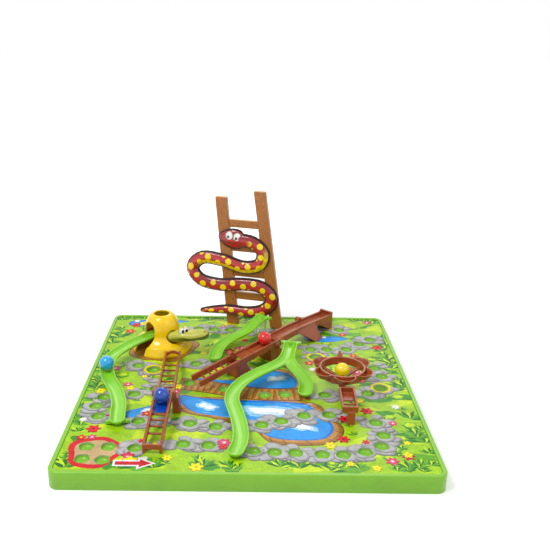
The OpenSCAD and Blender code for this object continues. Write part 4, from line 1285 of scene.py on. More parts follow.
def path_stones(draw):
    """Places and sizes of the stones beside the cups and between them."""
    stones = []
    for i in range(len(CUPS_AT_START), len(CUPS)):
        if i in CUPS_ON_WALK:
            continue
        a = Vector(CUPS[i]) * BOARD_W
        for turn in (0.2, 1.5, 2.9, 4.0, 5.2):
            angle = turn + draw(-0.5, 0.5)
            reach = draw(8, 11.5) * MM
            x, y = a.x + reach * math.cos(angle), a.y + reach * 0.8 * math.sin(angle)
            stones.append((x, y, draw(4.5, 8.2) * MM))
        if i + 1 < len(CUPS) and i + 1 not in CUPS_ON_WALK:
            b = Vector(CUPS[i + 1]) * BOARD_W
            steps = int((b - a).length / (7 * MM))
            if steps < 8:
                for k in range(1, steps):
                    place = a.lerp(b, k / steps)
                    x, y = place.x + draw(-3, 3) * MM, place.y + draw(-4, 4) * MM
                    stones.append((x, y, draw(4.5, 7.5) * MM))
    return stones


def stone_shapes(draw):
    """Stones beside the cups and between them, so that they make a path."""
    size = BOARD_W
    shapes = []
    for x, y, r in path_stones(draw):
        if max(abs(x), abs(y)) > 0.462 * size:
            continue
        turn, tall = draw(-0.3, 0.3), r * draw(0.6, 0.78)
        wave = ((2, 0.05, draw(0, 6)), (3, 0.05, draw(0, 6)))
        shapes.append((oval(x + 0.3 * MM, y - 0.8 * MM, r, tall, turn, 16, wave), STONE_EDGE))
        shapes.append((oval(x, y, r * 0.95, tall * 0.93, turn, 16, wave), STONE))
        shapes.append((oval(x - 0.3 * MM, y + 0.5 * MM, r * 0.74, tall * 0.66, turn, 16, wave), STONE_LIGHT))
    for i, (x, y) in enumerate(CUPS):
        x, y = x * size, y * size
        if i in CUPS_IN_YELLOW:
            wave = ((8, 0.045, 0.0),)
            shapes.append((ring_of(x, y, 9.4 * MM, 40, wave), BRONZE))
            shapes.append((ring_of(x, y, 9.0 * MM, 40, wave), PETAL_YELLOW))
            shapes.append((ring_of(x, y, 6.9 * MM, 28), GRASS_MID))
        elif i not in CUPS_ON_WALK and i not in CUPS_AT_START:
            turn, wave = draw(-0.5, 0.5), ((2, 0.05, draw(0, 6)), (3, 0.05, draw(0, 6)))
            x, y = x + draw(-3, 3) * MM, y - draw(1, 4) * MM
            shapes.append((oval(x, y - 0.6 * MM, 8.6 * MM, 6.8 * MM, turn, 22, wave), STONE_EDGE))
            shapes.append((oval(x, y, 8.4 * MM, 6.6 * MM, turn, 22, wave), STONE))
            shapes.append((oval(x - 0.4 * MM, y + 0.3 * MM, 7.2 * MM, 5.6 * MM, turn, 22, wave), STONE_LIGHT))
    for i, (x, y) in enumerate(CUPS):
        wave = ((5, 0.05, i * 1.3),)
        shapes.append((ring_of(x * size, y * size, CUP_R + 0.4 * MM, 26, wave), CUP_GREEN))
    return shapes


def flower_shapes(draw):
    """Flowers of several colours over the open meadow."""
    shapes = []
    placed_count = 0
    for _ in range(260):
        x, y = draw(-0.465, 0.465), draw(-0.465, 0.465)
        if not is_open_meadow(x, y, 0.036) or placed_count >= 105:
            continue
        colour, heart = FLOWER_KINDS[placed_count % len(FLOWER_KINDS)]
        petals = 5 + placed_count % 3
        placed_count += 1
        x, y = x * BOARD_W, y * BOARD_W
        r = draw(2.4, 4.8) * MM * (0.7 if colour is PETAL_WHITE else 1.0)
        turn = draw(0, 2)
        wave = ((petals, 0.24, turn),)
        shapes.append((ring_of(x, y - 0.4 * MM, r * 1.1, 36, wave), shade(colour, 0.25)))
        shapes.append((ring_of(x, y, r, 36, wave), colour))
        shapes.append((ring_of(x, y, r * 0.6, 30, ((petals, 0.2, turn),)), shade(colour, 1.35)))
        shapes.append((ring_of(x, y, r * 0.3, 12), heart))
    return shapes


def start_arrow(by):
    """Outline of the arrow beside the first cups, grown by a length."""
    x, y = -0.285 * BOARD_W, -0.452 * BOARD_W
    tail, neck, tip = x - 15 * MM - by, x + 3 * MM - by, x + 12 * MM + 1.8 * by
    shaft, wing = 2.2 * MM + by, 5 * MM + 1.7 * by
    return [
        (tail, y - shaft), (neck, y - shaft), (neck, y - wing), (tip, y),
        (neck, y + wing), (neck, y + shaft), (tail, y + shaft),
    ]


def meadow_shapes(outline):
    """Everything that is printed on the card, from the ground up."""
    luck = scatter(7)

    def draw(low, high):
        """The next number of the stream, between two limits."""
        return low + (high - low) * next(luck)

    shapes = [(outline, GRASS)] + ground_shapes(draw) + water_shapes(draw)
    for r, colour in ((21, PETAL_RED), (16, SAND)):
        wave = ((3, 0.06, 0.5), (5, 0.05, 1.0))
        shapes.append((ring_of(-0.398 * BOARD_W, -0.403 * BOARD_W, r * MM, 40, wave), colour))
    for r, colour in ((34, PLANK_DARK), (33, EARTH), (27, PLANK_LIGHT)):
        wave = ((5, 0.06, 1.0), (9, 0.03, 0.0))
        shapes.append((ring_of(DOME_AT[0], DOME_AT[1], r * MM, 48, wave), colour))
    shapes += stone_shapes(draw) + flower_shapes(draw)
    shapes.append((start_arrow(1.6 * MM), (0.9, 0.9, 0.9)))
    shapes.append((start_arrow(0.0), PETAL_RED))
    return shapes


def printed_material(name, roughness, grain):
    """Glossy print: its colours come from the mesh, with a painter's uneven tones."""
    mat, tree, shader = new_material(name)
    coords = object_coordinates(tree)
    broad = grey_tones(tree, noise_value(tree, coords, 70.0, 4.0, 0.8), 0.78, 1.12)
    fine = grey_tones(tree, noise_value(tree, coords, 420.0, 3.0, 1.2), 1 - grain, 1 + grain, (0.35, 0.65))
    toned = multiplied(tree, multiplied(tree, print_colour(tree), broad), fine)
    tree.links.new(toned, shader.inputs["Base Color"])
    set_inputs(
        shader,
        {"Roughness": roughness, "Specular IOR Level": 0.18, "Coat Weight": 0.05, "Coat Roughness": 0.2},
    )
    add_bump(tree, shader, noise_value(tree, coords, 900.0, 2.0), 0.05 * MM, 0.3)
    return mat


class BOARD_OT_card(bpy.types.Operator):
    """Make the printed card with its holes over the cups and sockets"""

    bl_idname = "board.card"
    bl_label = "Card"

    def execute(self, context):
        width = BOARD_W - 2 * RIM_W - 0.4 * MM
        holes = [ring_of(BOARD_W * x, BOARD_W * y, CUP_R, 32) for x, y in CUPS]
        holes += [ring_of(p[0], p[1], PEG_R + 0.4 * MM, 20) for p in peg_places()]
        shapes = meadow_shapes(round_square(width, CORNER_R - RIM_W))
        mesh = printed_plate("meadow_card", DECK_TOP, CARD_TOP, shapes, holes, CARD_BACK)
        material = printed_material("card_print", 0.34, 0.12)
        finish_piece(mesh, "meadow_card", "board", material, ["printed_card"], 20)
        return {"FINISHED"}


# Dome

DOME_R = 29.0 * MM
DOME_H = 36.0 * MM
DOME_WALL = 1.8 * MM
DOME_STEP = 1.6 * MM
SKIRT_H = 9.0 * MM
WAIST_R = 17.0 * MM
WAIST_H = DOME_H / 2
TOP_HOLE_R = 7.4 * MM
ARCH_YAW = math.radians(223)
NECK_YAW = math.radians(-48)
NECK_Z = 0.46 * DOME_H
NECK_HOLE_R = 6.2 * MM
DOME_PEG_AWAY = 25.0 * MM
DOME_PEG_YAWS = (30, 150, 270)


def dome_face(inset):
    """The dome's face at a distance inside its outer one, from its foot to its top."""
    shoulder = DOME_R - 3 * DOME_STEP
    points = [
        (DOME_R - inset, 0.0), (DOME_R - inset, DOME_STEP),
        (DOME_R - 2 * DOME_STEP - inset, SKIRT_H - inset), (shoulder - inset, SKIRT_H - inset),
    ]
    for k in range(1, 15):
        t = k / 14
        reach = WAIST_R - inset + (shoulder - WAIST_R) * (1 - t) ** 2
        points.append((reach, SKIRT_H + (WAIST_H - SKIRT_H) * t))
    for k in range(1, 22):
        a = math.pi / 2 * k / 22
        reach = TOP_HOLE_R + (WAIST_R - inset - TOP_HOLE_R) * math.cos(a)
        points.append((reach, WAIST_H + (DOME_H - inset - WAIST_H) * math.sin(a)))
    return points + [(TOP_HOLE_R, DOME_H - inset)]


def arch_hole():
    """The opening over the slide: upright sides and a round top."""
    half, high, below = (SLIDE_W + 1.8 * MM) / 2, 0.82 * DOME_H, -1.0 * MM
    face = [(-half, below)]
    for k in range(25):
        a = math.pi * k / 24
        face.append((half * math.cos(math.pi - a), high - half + half * math.sin(a)))
    face.append((half, below))
    return loft("arch", [[(x, y, z) for y, z in face] for x in (0.0, DOME_R + 1.0 * MM)])


def neck_hole():
    """The round opening for the snake's neck."""
    face = [(NECK_HOLE_R * math.cos(a), NECK_Z + NECK_HOLE_R * math.sin(a)) for a in full_turn(48)]
    return loft("neck", [[(x, y, z) for y, z in face] for x in (0.0, DOME_R)])


class BOARD_OT_dome(bpy.types.Operator):
    """Make the dome with its arch, its neck hole and its pegs"""

    bl_idname = "board.dome"
    bl_label = "Dome"

    def execute(self, context):
        plastic = moulded_plastic("dome_plastic", context.scene.board_colours.dome, 0.18, 0.05, 0.35, 0.08)
        shell = turned("dome", dome_face(0.0) + dome_face(DOME_WALL)[::-1], segments=160)
        for hole, yaw in ((arch_hole, ARCH_YAW), (neck_hole, NECK_YAW)):
            shell = carved(shell, moved(hole(), Matrix.Rotation(yaw, 4, "Z")))
        parts = [softened(shell, 0.46 * MM, 5)]
        top = SKIRT_H - DOME_WALL / 2
        profile = [(0.0, -PEG_LEN), (PEG_R, -PEG_LEN), (PEG_R, top), (0.0, top)]
        for yaw in DOME_PEG_YAWS:
            a = math.radians(yaw)
            at = (DOME_PEG_AWAY * math.cos(a), DOME_PEG_AWAY * math.sin(a), 0.0)
            parts.append(turned("peg", profile, at, PEG_SIDES))
        mesh = moved(joined("dome_moulding", parts), placed(DOME_AT))
        finish_piece(mesh, "dome_moulding", "board", plastic, ["dome_shell"])
        return {"FINISHED"}


# Ladders, flower, posts and balls

FLOWER_AT = Vector((0.283, -0.061)) * BOARD_W
FLOWER_TOP = CARD_TOP + 23.5 * MM
FLOWER_RING_OUT = 19.9 * MM
PETAL_AWAY = 18.3 * MM
PETAL_H = 5.5 * MM
PETAL_YAWS = (30, 150, 210, 270, 330)
PETAL_SPREAD = math.radians(31)


def flare_petals(mesh):
    """Draw in the feet of the wheel's petals, so that each opens upwards like a leaf."""
    for vert in mesh.vertices:
        spot = Vector(vert.co.xy) - FLOWER_AT
        if spot.length < FLOWER_RING_OUT:
            continue
        for yaw in PETAL_YAWS:
            aim = Vector((math.cos(math.radians(yaw)), math.sin(math.radians(yaw))))
            if spot.angle(aim) < PETAL_SPREAD:
                middle = aim * PETAL_AWAY
                high = 1 - (FLOWER_TOP - vert.co.z) / PETAL_H
                grow = 0.6 + 0.4 * min(1.0, max(0.0, high)) ** 0.8
                share = smooth_step(0.0, 1.8 * MM, spot.length - FLOWER_RING_OUT)
                spot = spot.lerp(middle + (spot - middle) * grow, share)
                vert.co.xy = FLOWER_AT + spot
                break


class BOARD_OT_ladders(bpy.types.Operator):
    """Finish the ladders, the channel, the wheel and its stalk as soft-edged mouldings"""

    bl_idname = "board.ladders"
    bl_label = "Ladders and flower"

    def execute(self, context):
        colours = context.scene.board_colours
        brown = moulded_plastic("brown_plastic", colours.ladder, 0.26, 0.16, 0.22, planks=0.35 * MM)
        for node, body, voxel in (
            ("front_ladder", "board", 0.34), ("upper_ladder", "board", 0.34), ("long_ladder", "board", 0.4),
            ("long_channel", "board", 0.4), ("flower_stalk", "board", 0.28), ("flower_wheel", "wheel", 0.32),
            ("long_flap", "long_flap_body", 0.3),
        ):
            mesh = softened(node_copy(node), voxel * MM, 4)
            if node == "flower_wheel":
                flare_petals(mesh)
            finish_piece(mesh, node + "_moulding", body, brown, [node])
        for node in ("front_pin", "long_pin"):
            mesh = softened(node_copy(node), 0.16 * MM, 5)
            finish_piece(mesh, node + "_turned", "board", brown, [node])
        slot = "blue_flap_plastic"
        blue = moulded_plastic(slot, colours.flap, 0.25, 0.1, 0.5)
        mesh = softened(node_copy("front_flap"), 0.26 * MM, 5)
        finish_piece(mesh, "front_flap_moulding", "front_flap_body", blue, ["front_flap"])
        return {"FINISHED"}


class BOARD_OT_posts(bpy.types.Operator):
    """Finish the two clear posts under the slides"""

    bl_idname = "board.posts"
    bl_label = "Clear posts"

    def execute(self, context):
        clear = clear_plastic("clear_plastic")
        for node in ("rear_slide_post", "fork_slide_post"):
            mesh = softened(node_copy(node), 0.25 * MM, 6)
            finish_piece(mesh, node + "_moulding", "board", clear, [node])
        return {"FINISHED"}


def ball_profile(radius):
    """Half of a ball's outline, with a fine parting line and a sunk gate mark at one pole."""
    steps = 72
    sunk = {steps // 2: 0.07 * MM, steps: 0.12 * MM}
    profile = []
    for k in range(steps + 1):
        a = -math.pi / 2 + math.pi * k / steps
        r = radius - sunk.get(k, 0.0)
        profile.append((r * math.cos(a) if 0 < k < steps else 0.0, r * math.sin(a)))
    return profile


class BOARD_OT_balls(bpy.types.Operator):
    """Make the four balls with their parting lines and gate marks"""

    bl_idname = "board.balls"
    bl_label = "Balls"

    def execute(self, context):
        for body, colour, roll, tilt in (
            ("blue", (0.0, 0.055, 0.42), 0.5, 0.3),
            ("red", (0.75, 0.006, 0.006), 0.2, 1.0),
            ("light_blue", (0.003, 0.36, 0.74), 0.9, 0.2),
            ("yellow", (0.92, 0.7, 0.0), 0.4, 0.6),
        ):
            node = "ball_" + body
            low, high = node_box(node)
            mesh = turned(body, ball_profile((high.z - low.z) / 2), segments=96)
            spin = Matrix.Rotation(roll, 4, "X") @ Matrix.Rotation(tilt, 4, "Y")
            mesh.transform(Matrix.Translation((low + high) / 2) @ spin)
            slot = node + "_plastic"
            plastic = moulded_plastic(slot, colour, 0.1, 0.04, 0.6)
            finish_piece(mesh, node + "_moulding", body, plastic, [node])
        return {"FINISHED"}


# Snake's head on the dome; its sections are (along, up, half width, half height) in millimetres

HEAD_LEN = 35.0 * MM
HEAD_T = 14.5 * MM
HEAD_RISE = 3.8 * MM
HEAD_TURN = math.radians(43)
HEAD_AWAY = 18.4 * MM
HEAD_SECTIONS = [
    (-7.0, 0.0, 4.6, 4.6), (-3.0, 0.0, 4.8, 4.8), (0.0, 0.2, 5.2, 5.3), (4.0, 1.5, 6.6, 6.0),
    (8.0, 2.5, 8.0, 6.0), (12.0, 2.7, 8.45, 5.7), (16.0, 2.8, 8.45, 5.4), (20.0, 3.1, 8.1, 5.1),
    (24.0, 3.6, 7.6, 5.0), (27.0, 4.0, 7.15, 5.0), (30.0, 4.2, 6.5, 4.9), (32.5, 4.3, 5.3, 4.3),
    (34.2, 4.3, 3.4, 2.9), (34.9, 4.3, 1.2, 1.1),
]
NOSTRIL_X, NOSTRIL_SIDE = 31.2, 2.5  # in millimetres
EYE_R = 2.7 * MM
EYE_SHARE = 0.31
EYE_SIDE = 3.0 * MM
EYE_DROP = 2.6 * MM
EYE_TALL = 1.35
HEAD_TOP = (0.5, 0.5, 0.04)
HEAD_UNDER = (0.11, 0.17, 0.005)
HEAD_DARK = (0.015, 0.02, 0.002)
LID_COLOUR = (0.75, 0.72, 0.1)
EYE_WHITE = (0.85, 0.85, 0.82)
EYE_BLACK = (0.003, 0.003, 0.003)


def head_frame():
    """Frame of the snake's head, where its neck leaves the dome."""
    neck = placed(DOME_AT, NECK_YAW) @ Matrix.Translation((HEAD_AWAY, 0.0, NECK_Z))
    return neck @ Matrix.Rotation(HEAD_TURN, 4, "Z")


def head_material():
    """Glossy plastic in the colours that are painted on the head."""
    mat, tree, shader = new_material("olive_plastic")
    coords = object_coordinates(tree)
    tones = grey_tones(tree, noise_value(tree, coords, 150.0, 3.0), 0.85, 1.12)
    tree.links.new(multiplied(tree, print_colour(tree), tones), shader.inputs["Base Color"])
    set_inputs(shader, {"Roughness": 0.3, "Coat Weight": 0.4, "Coat Roughness": 0.15})
    add_bump(tree, shader, noise_value(tree, coords, 300.0, 3.0), 0.15 * MM, 0.3)
    return mat


def painted(mesh, colour_of):
    """Give each vertex of the mesh a colour from its place."""
    attribute = mesh.color_attributes.new("print", "FLOAT_COLOR", "POINT")
    for vert in mesh.vertices:
        attribute.data[vert.index].color = (*colour_of(vert.co), 1.0)
    return mesh


def head_skin():
    """The head's skin with its mouth crease and nostrils, its neck turned back to the dome."""
    middles = spline([Vector((x, z, w)) for x, z, w, _ in HEAD_SECTIONS], 5)
    heights = spline([Vector((x, t, 0.0)) for x, _, _, t in HEAD_SECTIONS], 5)
    rings = []
    for p, q in zip(middles, heights):
        open_mouth = smooth_step(8.0, 26.0, p.x)
        ring = []
        for a in full_turn(56):
            crease = math.exp(-(((math.sin(a) + 0.28) / 0.1) ** 2))
            x = p.x - 0.5 * crease * open_mouth
            y = p.z * math.cos(a) * (1 - 0.12 * crease * open_mouth)
            z = q.y * math.sin(a)
            for side in ((-1, 1) if p.x > 28.0 else ()):
                away = ((p.x - NOSTRIL_X) / 0.8) ** 2 + ((y - side * NOSTRIL_SIDE) / 0.8) ** 2
                z -= 0.9 * math.exp(-away) if z > 0 else 0.0
            spot = Vector((x, y, p.y + z)) * MM
            if p.x < 0:
                spot = Matrix.Rotation(-HEAD_TURN * smooth_step(0.0, 4.0, -p.x), 3, "Z") @ spot
            ring.append(spot)
        rings.append(ring)
    return loft("snake_head", rings)


def head_colour(co):
    """Pale above, olive below; the mouth line and the nostrils are dark."""
    x, y, z = co / MM
    level = 1.9 + 2.6 * ((x - 18) / 13) ** 2 if x > 9 else 0.35 * x
    tone = blend_of(HEAD_UNDER, HEAD_TOP, smooth_step(level - 1.5, level + 1.8, z))
    if x > 9:
        line = math.exp(-(((z - level) / 0.55) ** 2)) * smooth_step(9, 11, x)
        tone = blend_of(tone, HEAD_DARK, line)
    if z > 6:
        for side in (-1, 1):
            away = ((x - NOSTRIL_X) / 1.1) ** 2 + ((y - side * NOSTRIL_SIDE) / 0.9) ** 2
            tone = blend_of(tone, HEAD_DARK, math.exp(-away))
    return tone


def eyeball(side):
    """An eye with its pupil, that looks along X and a little inwards."""
    eye = bpy.data.meshes.new("eye")
    work = bmesh.new()
    bmesh.ops.create_icosphere(work, subdivisions=5, radius=EYE_R * 0.98)
    work.to_mesh(eye)
    work.free()
    pupil = Vector((1.0, -0.12 * side - 0.1, 0.12)).normalized()
    return painted(eye, lambda co: EYE_BLACK if co.normalized().dot(pupil) > 0.87 else EYE_WHITE)


def eyelid():
    """A thin hood over the half of an eye that looks away."""
    profile = []
    for r, start, span in ((EYE_R + 0.55 * MM, 12, 78), (EYE_R + 0.12 * MM, 90, -78)):
        for k in range(13):
            a = math.radians(start + span * k / 12)
            profile.append((-r * math.sin(a), r * math.cos(a)))
    rings = [[(x, r * math.cos(a), r * math.sin(a)) for x, r in profile] for a in full_turn(40)]
    return painted(loft("lid", rings, loop=True), lambda co: LID_COLOUR)


class BOARD_OT_snake_head(bpy.types.Operator):
    """Make the snake's head with its mouth, nostrils and eyes"""

    bl_idname = "board.snake_head"
    bl_label = "Snake's head"

    def execute(self, context):
        place = head_frame()
        ribs = block("rib", (-7.0 * MM, -0.8 * MM, -6.1 * MM), (-1.0 * MM, 0.8 * MM, 6.1 * MM))
        ribs = painted(moved(ribs, Matrix.Rotation(-HEAD_TURN, 4, "Z")), lambda co: HEAD_UNDER)
        eye_at = (HEAD_LEN * EYE_SHARE, -EYE_SIDE, HEAD_RISE + HEAD_T / 2 - EYE_DROP)
        eye_place = place @ Matrix.Translation(eye_at) @ Matrix.Rotation(math.radians(-50), 4, "Z")
        stretch = Matrix.Diagonal((1.0, 1.0, EYE_TALL, 1.0))
        lean = Matrix.Rotation(math.radians(24), 4, "Y")
        eyes, lids = [], []
        for side in (-1, 1):
            centre = Matrix.Translation((0.0, side * EYE_R * 0.85, 0.0)) @ stretch
            eyes.append(moved(eyeball(side), centre))
            lids.append(moved(eyelid(), place.inverted() @ eye_place @ centre @ lean))
        head = painted(head_skin(), head_colour)
        mesh = moved(joined("snake_head_moulding", [head, ribs] + lids), place)
        plastic = head_material()
        finish_piece(mesh, "snake_head_moulding", "board", plastic, ["snake_head"], 50)
        mesh = moved(joined("snake_eyes_moulding", eyes), eye_place)
        material = printed_material("white_plastic", 0.12, 0.02)
        finish_piece(mesh, "snake_eyes_moulding", "board", material, ["snake_eyes"])
        return {"FINISHED"}


# Standing ladder and snake

FOOT_LEFT, FOOT_RIGHT = Vector((-0.055, 0.443)) * BOARD_W, Vector((0.103, 0.4)) * BOARD_W
STAND_SPAN = (FOOT_RIGHT - FOOT_LEFT).length
STAND_H = 146.0 * MM
STAND_YAW = math.atan2(FOOT_RIGHT.y - FOOT_LEFT.y, FOOT_RIGHT.x - FOOT_LEFT.x)
RAIL_T = 6.0 * MM
BACK_T = 1.2 * MM
SNAKE_FRONT = -RAIL_T / 2 - BACK_T
SNAKE_T = 3.8 * MM
SNAKE_W, TAIL_W = 12.0, 3.0  # in millimetres
SNAKE_SHARES = [
    (-1.2, 0.085), (-0.94, 0.1), (-0.56, 0.115), (-0.14, 0.11), (0.22, 0.14), (0.4, 0.225),
    (0.17, 0.31), (-0.28, 0.32), (-0.78, 0.3), (-1.24, 0.325), (-1.42, 0.415), (-1.18, 0.495),
    (-0.7, 0.485), (-0.25, 0.45), (0.1, 0.48), (0.17, 0.57), (-0.05, 0.635), (-0.36, 0.65),
]
SNAKE_RED = (0.36, 0.004, 0.012)
SNAKE_DARK = (0.02, 0.0, 0.0)
SNAKE_YELLOW = (0.9, 0.62, 0.0)
NO_SPOTS = (0.0, 5.0)  # skin coordinates where no spot reaches


def wood_material(base):
    """Printed wood: long dark grain along the piece's own length, with a soft sheen and painted light, a pale
    tint on faces that look up.
    """
    mat, tree, shader = new_material("printed_wood")
    uv = add_node(tree, "ShaderNodeUVMap", uv_map="grain")
    stretch = add_node(tree, "ShaderNodeMapping", {"Scale": (1.0, 14.0, 1.0)})
    tree.links.new(uv.outputs["UV"], stretch.inputs["Vector"])
    lines = noise_value(tree, stretch.outputs["Vector"], 26.0, 5.0, 0.9)
    wave = add_node(
        tree,
        "ShaderNodeTexWave",
        {"Scale": 9.0, "Distortion": 5.0, "Detail": 3.0, "Detail Scale": 1.2},
        wave_type="BANDS",
        bands_direction="Y",
    )
    tree.links.new(stretch.outputs["Vector"], wave.inputs["Vector"])
    tone = ramp(tree, lines, [(0.3, shade(base, 0.38)), (0.5, base), (0.7, shade(base, 1.45))])
    bands = ramp(tree, wave.outputs["Fac"], [(0.0, (0.8, 0.78, 0.76)), (1.0, (1.1, 1.1, 1.1))])
    # Painted light: faces that look up are mixed towards a pale wood colour, as if lit from above.
    pale, lit = mixed(tree, multiplied(tree, tone, bands), None)
    pale.inputs[7].default_value = (0.72, 0.38, 0.12, 1.0)
    # The layer named print holds no print on the wood: it carries the painted light, how far a face looks up.
    paint = add_node(tree, "ShaderNodeAttribute", attribute_name="print")
    tree.links.new(paint.outputs["Fac"], pale.inputs["Factor"])
    tree.links.new(lit, shader.inputs["Base Color"])
    set_inputs(shader, {"Roughness": 0.42, "Coat Weight": 0.15})
    add_bump(tree, shader, lines, 0.15 * MM, 0.35)
    return mat


def wooden(mesh, axis, other):
    """UV map along the grain and painted light, a pale tint on the faces that look up, for a wooden piece."""
    mesh.uv_layers.new(name="grain")
    # This colour layer carries painted light, not print: a pale tint on faces that look up.
    mesh.color_attributes.new("print", "FLOAT_COLOR", "CORNER")
    uv, paint = mesh.attributes["grain"], mesh.attributes["print"]
    for poly in mesh.polygons:
        # Painted light: the more a face looks up, the paler it is tinted, as if lit from above.
        up = 0.8 * smooth_step(0.75, 0.95, poly.normal.z)
        for i in poly.loop_indices:
            co = mesh.vertices[mesh.loops[i].vertex_index].co
            uv.data[i].vector = (co.dot(axis) / (100 * MM), (co.dot(other) + 0.7 * co.y) / (100 * MM))
            paint.data[i].color = (up, up, up, 1.0)
    return mesh


class BOARD_OT_standing_ladder(bpy.types.Operator):
    """Make the standing ladder's rails and rungs"""

    bl_idname = "board.standing_ladder"
    bl_label = "Standing ladder"

    def execute(self, context):
        wood = wood_material(context.scene.board_colours.wood)
        along = Vector((-0.12, 0.0, 0.99))
        across = Vector((math.cos(STAND_YAW), math.sin(STAND_YAW), 0.0))
        for node in ("standee_left_rail", "standee_right_rail"):
            mesh = wooden(softened(node_copy(node), 0.5 * MM, 5), along, across)
            finish_piece(mesh, node + "_board", "board", wood, [node])
        mesh = wooden(softened(node_copy("standee_rungs"), 0.45 * MM, 4), across, along)
        finish_piece(mesh, "standee_rungs_board", "board", wood, ["standee_rungs"])
        return {"FINISHED"}


def snake_material():
    """Glossy printed snake: its painted colours with yellow spots where the print allows them."""
    mat, tree, shader = new_material("snake_print")
    coords = object_coordinates(tree)
    uv = add_node(tree, "ShaderNodeUVMap", uv_map="skin")
    split = add_node(tree, "ShaderNodeSeparateXYZ")
    tree.links.new(uv.outputs["UV"], split.inputs["Vector"])

    def maths(operation, *values):
        """A maths node on sockets or numbers."""
        node = add_node(tree, "ShaderNodeMath", operation=operation)
        for i, value in enumerate(values):
            if hasattr(value, "links"):
                tree.links.new(value, node.inputs[i])
            else:
                node.inputs[i].default_value = value
        return node.outputs["Value"]

    spots = []
    for shift, side, radius in ((0.0, 0.25, 0.42), (0.5, -0.4, 0.38), (0.27, 0.95, 0.22)):
        around = maths("SUBTRACT", maths("FRACT", maths("ADD", split.outputs["X"], shift)), 0.5)
        along = maths("MULTIPLY", around, 3.7)
        over = maths("SUBTRACT", split.outputs["Y"], side)
        span = maths("SQRT", maths("ADD", maths("MULTIPLY", along, along), maths("MULTIPLY", over, over)))
        spots.append(maths("LESS_THAN", span, radius * 1.3))
    spotted = maths("MAXIMUM", maths("MAXIMUM", spots[0], spots[1]), spots[2])
    fade = add_node(tree, "ShaderNodeAttribute", attribute_name="plain")
    mix, skin = mixed(tree, print_colour(tree), None)
    mix.inputs[7].default_value = (0.95, 0.72, 0.0, 1.0)
    shown = maths("MULTIPLY", spotted, maths("SUBTRACT", 1.0, fade.outputs["Fac"]))
    tree.links.new(shown, mix.inputs["Factor"])
    tones = grey_tones(tree, noise_value(tree, coords, 130.0, 3.0), 0.85, 1.1)
    tree.links.new(multiplied(tree, skin, tones), shader.inputs["Base Color"])
    set_inputs(shader, {"Roughness": 0.25, "Coat Weight": 0.5, "Coat Roughness": 0.12})
    add_bump(tree, shader, noise_value(tree, coords, 240.0, 3.0), 0.12 * MM, 0.3)
    return mat


def snake_print(name, verts, faces, colours, uvs, plain):
    """A printed mesh with colours, skin coordinates and plain areas, vertex by vertex."""
    mesh = plain_mesh(name, verts, faces)
    mesh.color_attributes.new("print", "FLOAT_COLOR", "POINT")
    mesh.attributes.new("plain", "FLOAT", "POINT")
    mesh.uv_layers.new(name="skin")
    paint, bare, skin = (mesh.attributes[layer] for layer in ("print", "plain", "skin"))
    for i, colour in enumerate(colours):
        paint.data[i].color = (*colour, 1.0)
        bare.data[i].value = plain[i]
    for loop in mesh.loops:
        skin.data[loop.index].vector = uvs[loop.vertex_index]
    return mesh


def body_colour(share, length, t):
    """Colour and plainness of the body at a share of its route, that length on and t across."""
    belly = smooth_step(0.6, 0.66, share) * smooth_step(0.9, 0.86, share) * smooth_step(0.3, 0.36, -t)
    glow = smooth_step(0.1, 0.9, 1 - abs(t - 0.25)) * 0.8
    band = SNAKE_YELLOW if int(length / (3.2 * MM)) % 2 else shade(SNAKE_YELLOW, 0.8)
    tone = blend_of(shade(SNAKE_RED, 0.75), (0.6, 0.02, 0.03), glow)
    tone = blend_of(blend_of(tone, band, belly), SNAKE_DARK, smooth_step(0.9, 0.99, abs(t)))
    return tone, max(belly, smooth_step(0.9, 0.95, abs(t)), smooth_step(0.94, 0.97, share))


def snake_body(route):
    """The snake's raised body along its route, with a flat back."""
    last = len(route) - 1
    count = 25
    verts, faces, colours, uvs, plain = [], [], [], [], []
    backs = []
    length = 0.0
    for i, p in enumerate(route):
        length += (p - route[i - 1]).length if i else 0.0
        a = heading(route, i)
        side = Vector((-math.sin(a), math.cos(a), 0.0))
        taper = max(0.0, 1 - i / last / 0.3) ** 2
        half = (SNAKE_W - (SNAKE_W - TAIL_W) * taper) / 2 * MM
        for k in range(count):
            t = -1 + 2 * k / (count - 1)
            rise = SNAKE_T * (0.25 + 0.73 * math.sqrt(max(0.0, 1 - t * t)))
            q = p + side * half * t
            verts.append((q.x, SNAKE_FRONT - rise, q.y))
            tone, bare = body_colour(i / last, length, t)
            colours.append(tone)
            plain.append(bare)
            uvs.append((length / (22 * MM), t))
        backs += [p + side * half * t for t in (-1, 1)]
    under = len(verts)
    verts += [(q.x, SNAKE_FRONT, q.y) for q in backs]
    colours += [SNAKE_DARK] * len(backs)
    uvs += [NO_SPOTS] * len(backs)
    plain += [1.0] * len(backs)
    for i in range(last):
        for k in range(count - 1):
            n = i * count + k
            faces.append((n, n + 1, n + count + 1, n + count))
    for i in range(last):
        a, b = i * count, (i + 1) * count
        u, v = under + 2 * i, under + 2 * (i + 1)
        faces += [(a, b, v, u), (a + count - 1, u + 1, v + 1, b + count - 1), (u, v, v + 1, u + 1)]
    for i in (0, last):
        faces.append(tuple(range(i * count, (i + 1) * count)) + (under + 2 * i + 1, under + 2 * i))
    return snake_print("body", verts, faces, colours, uvs, plain)


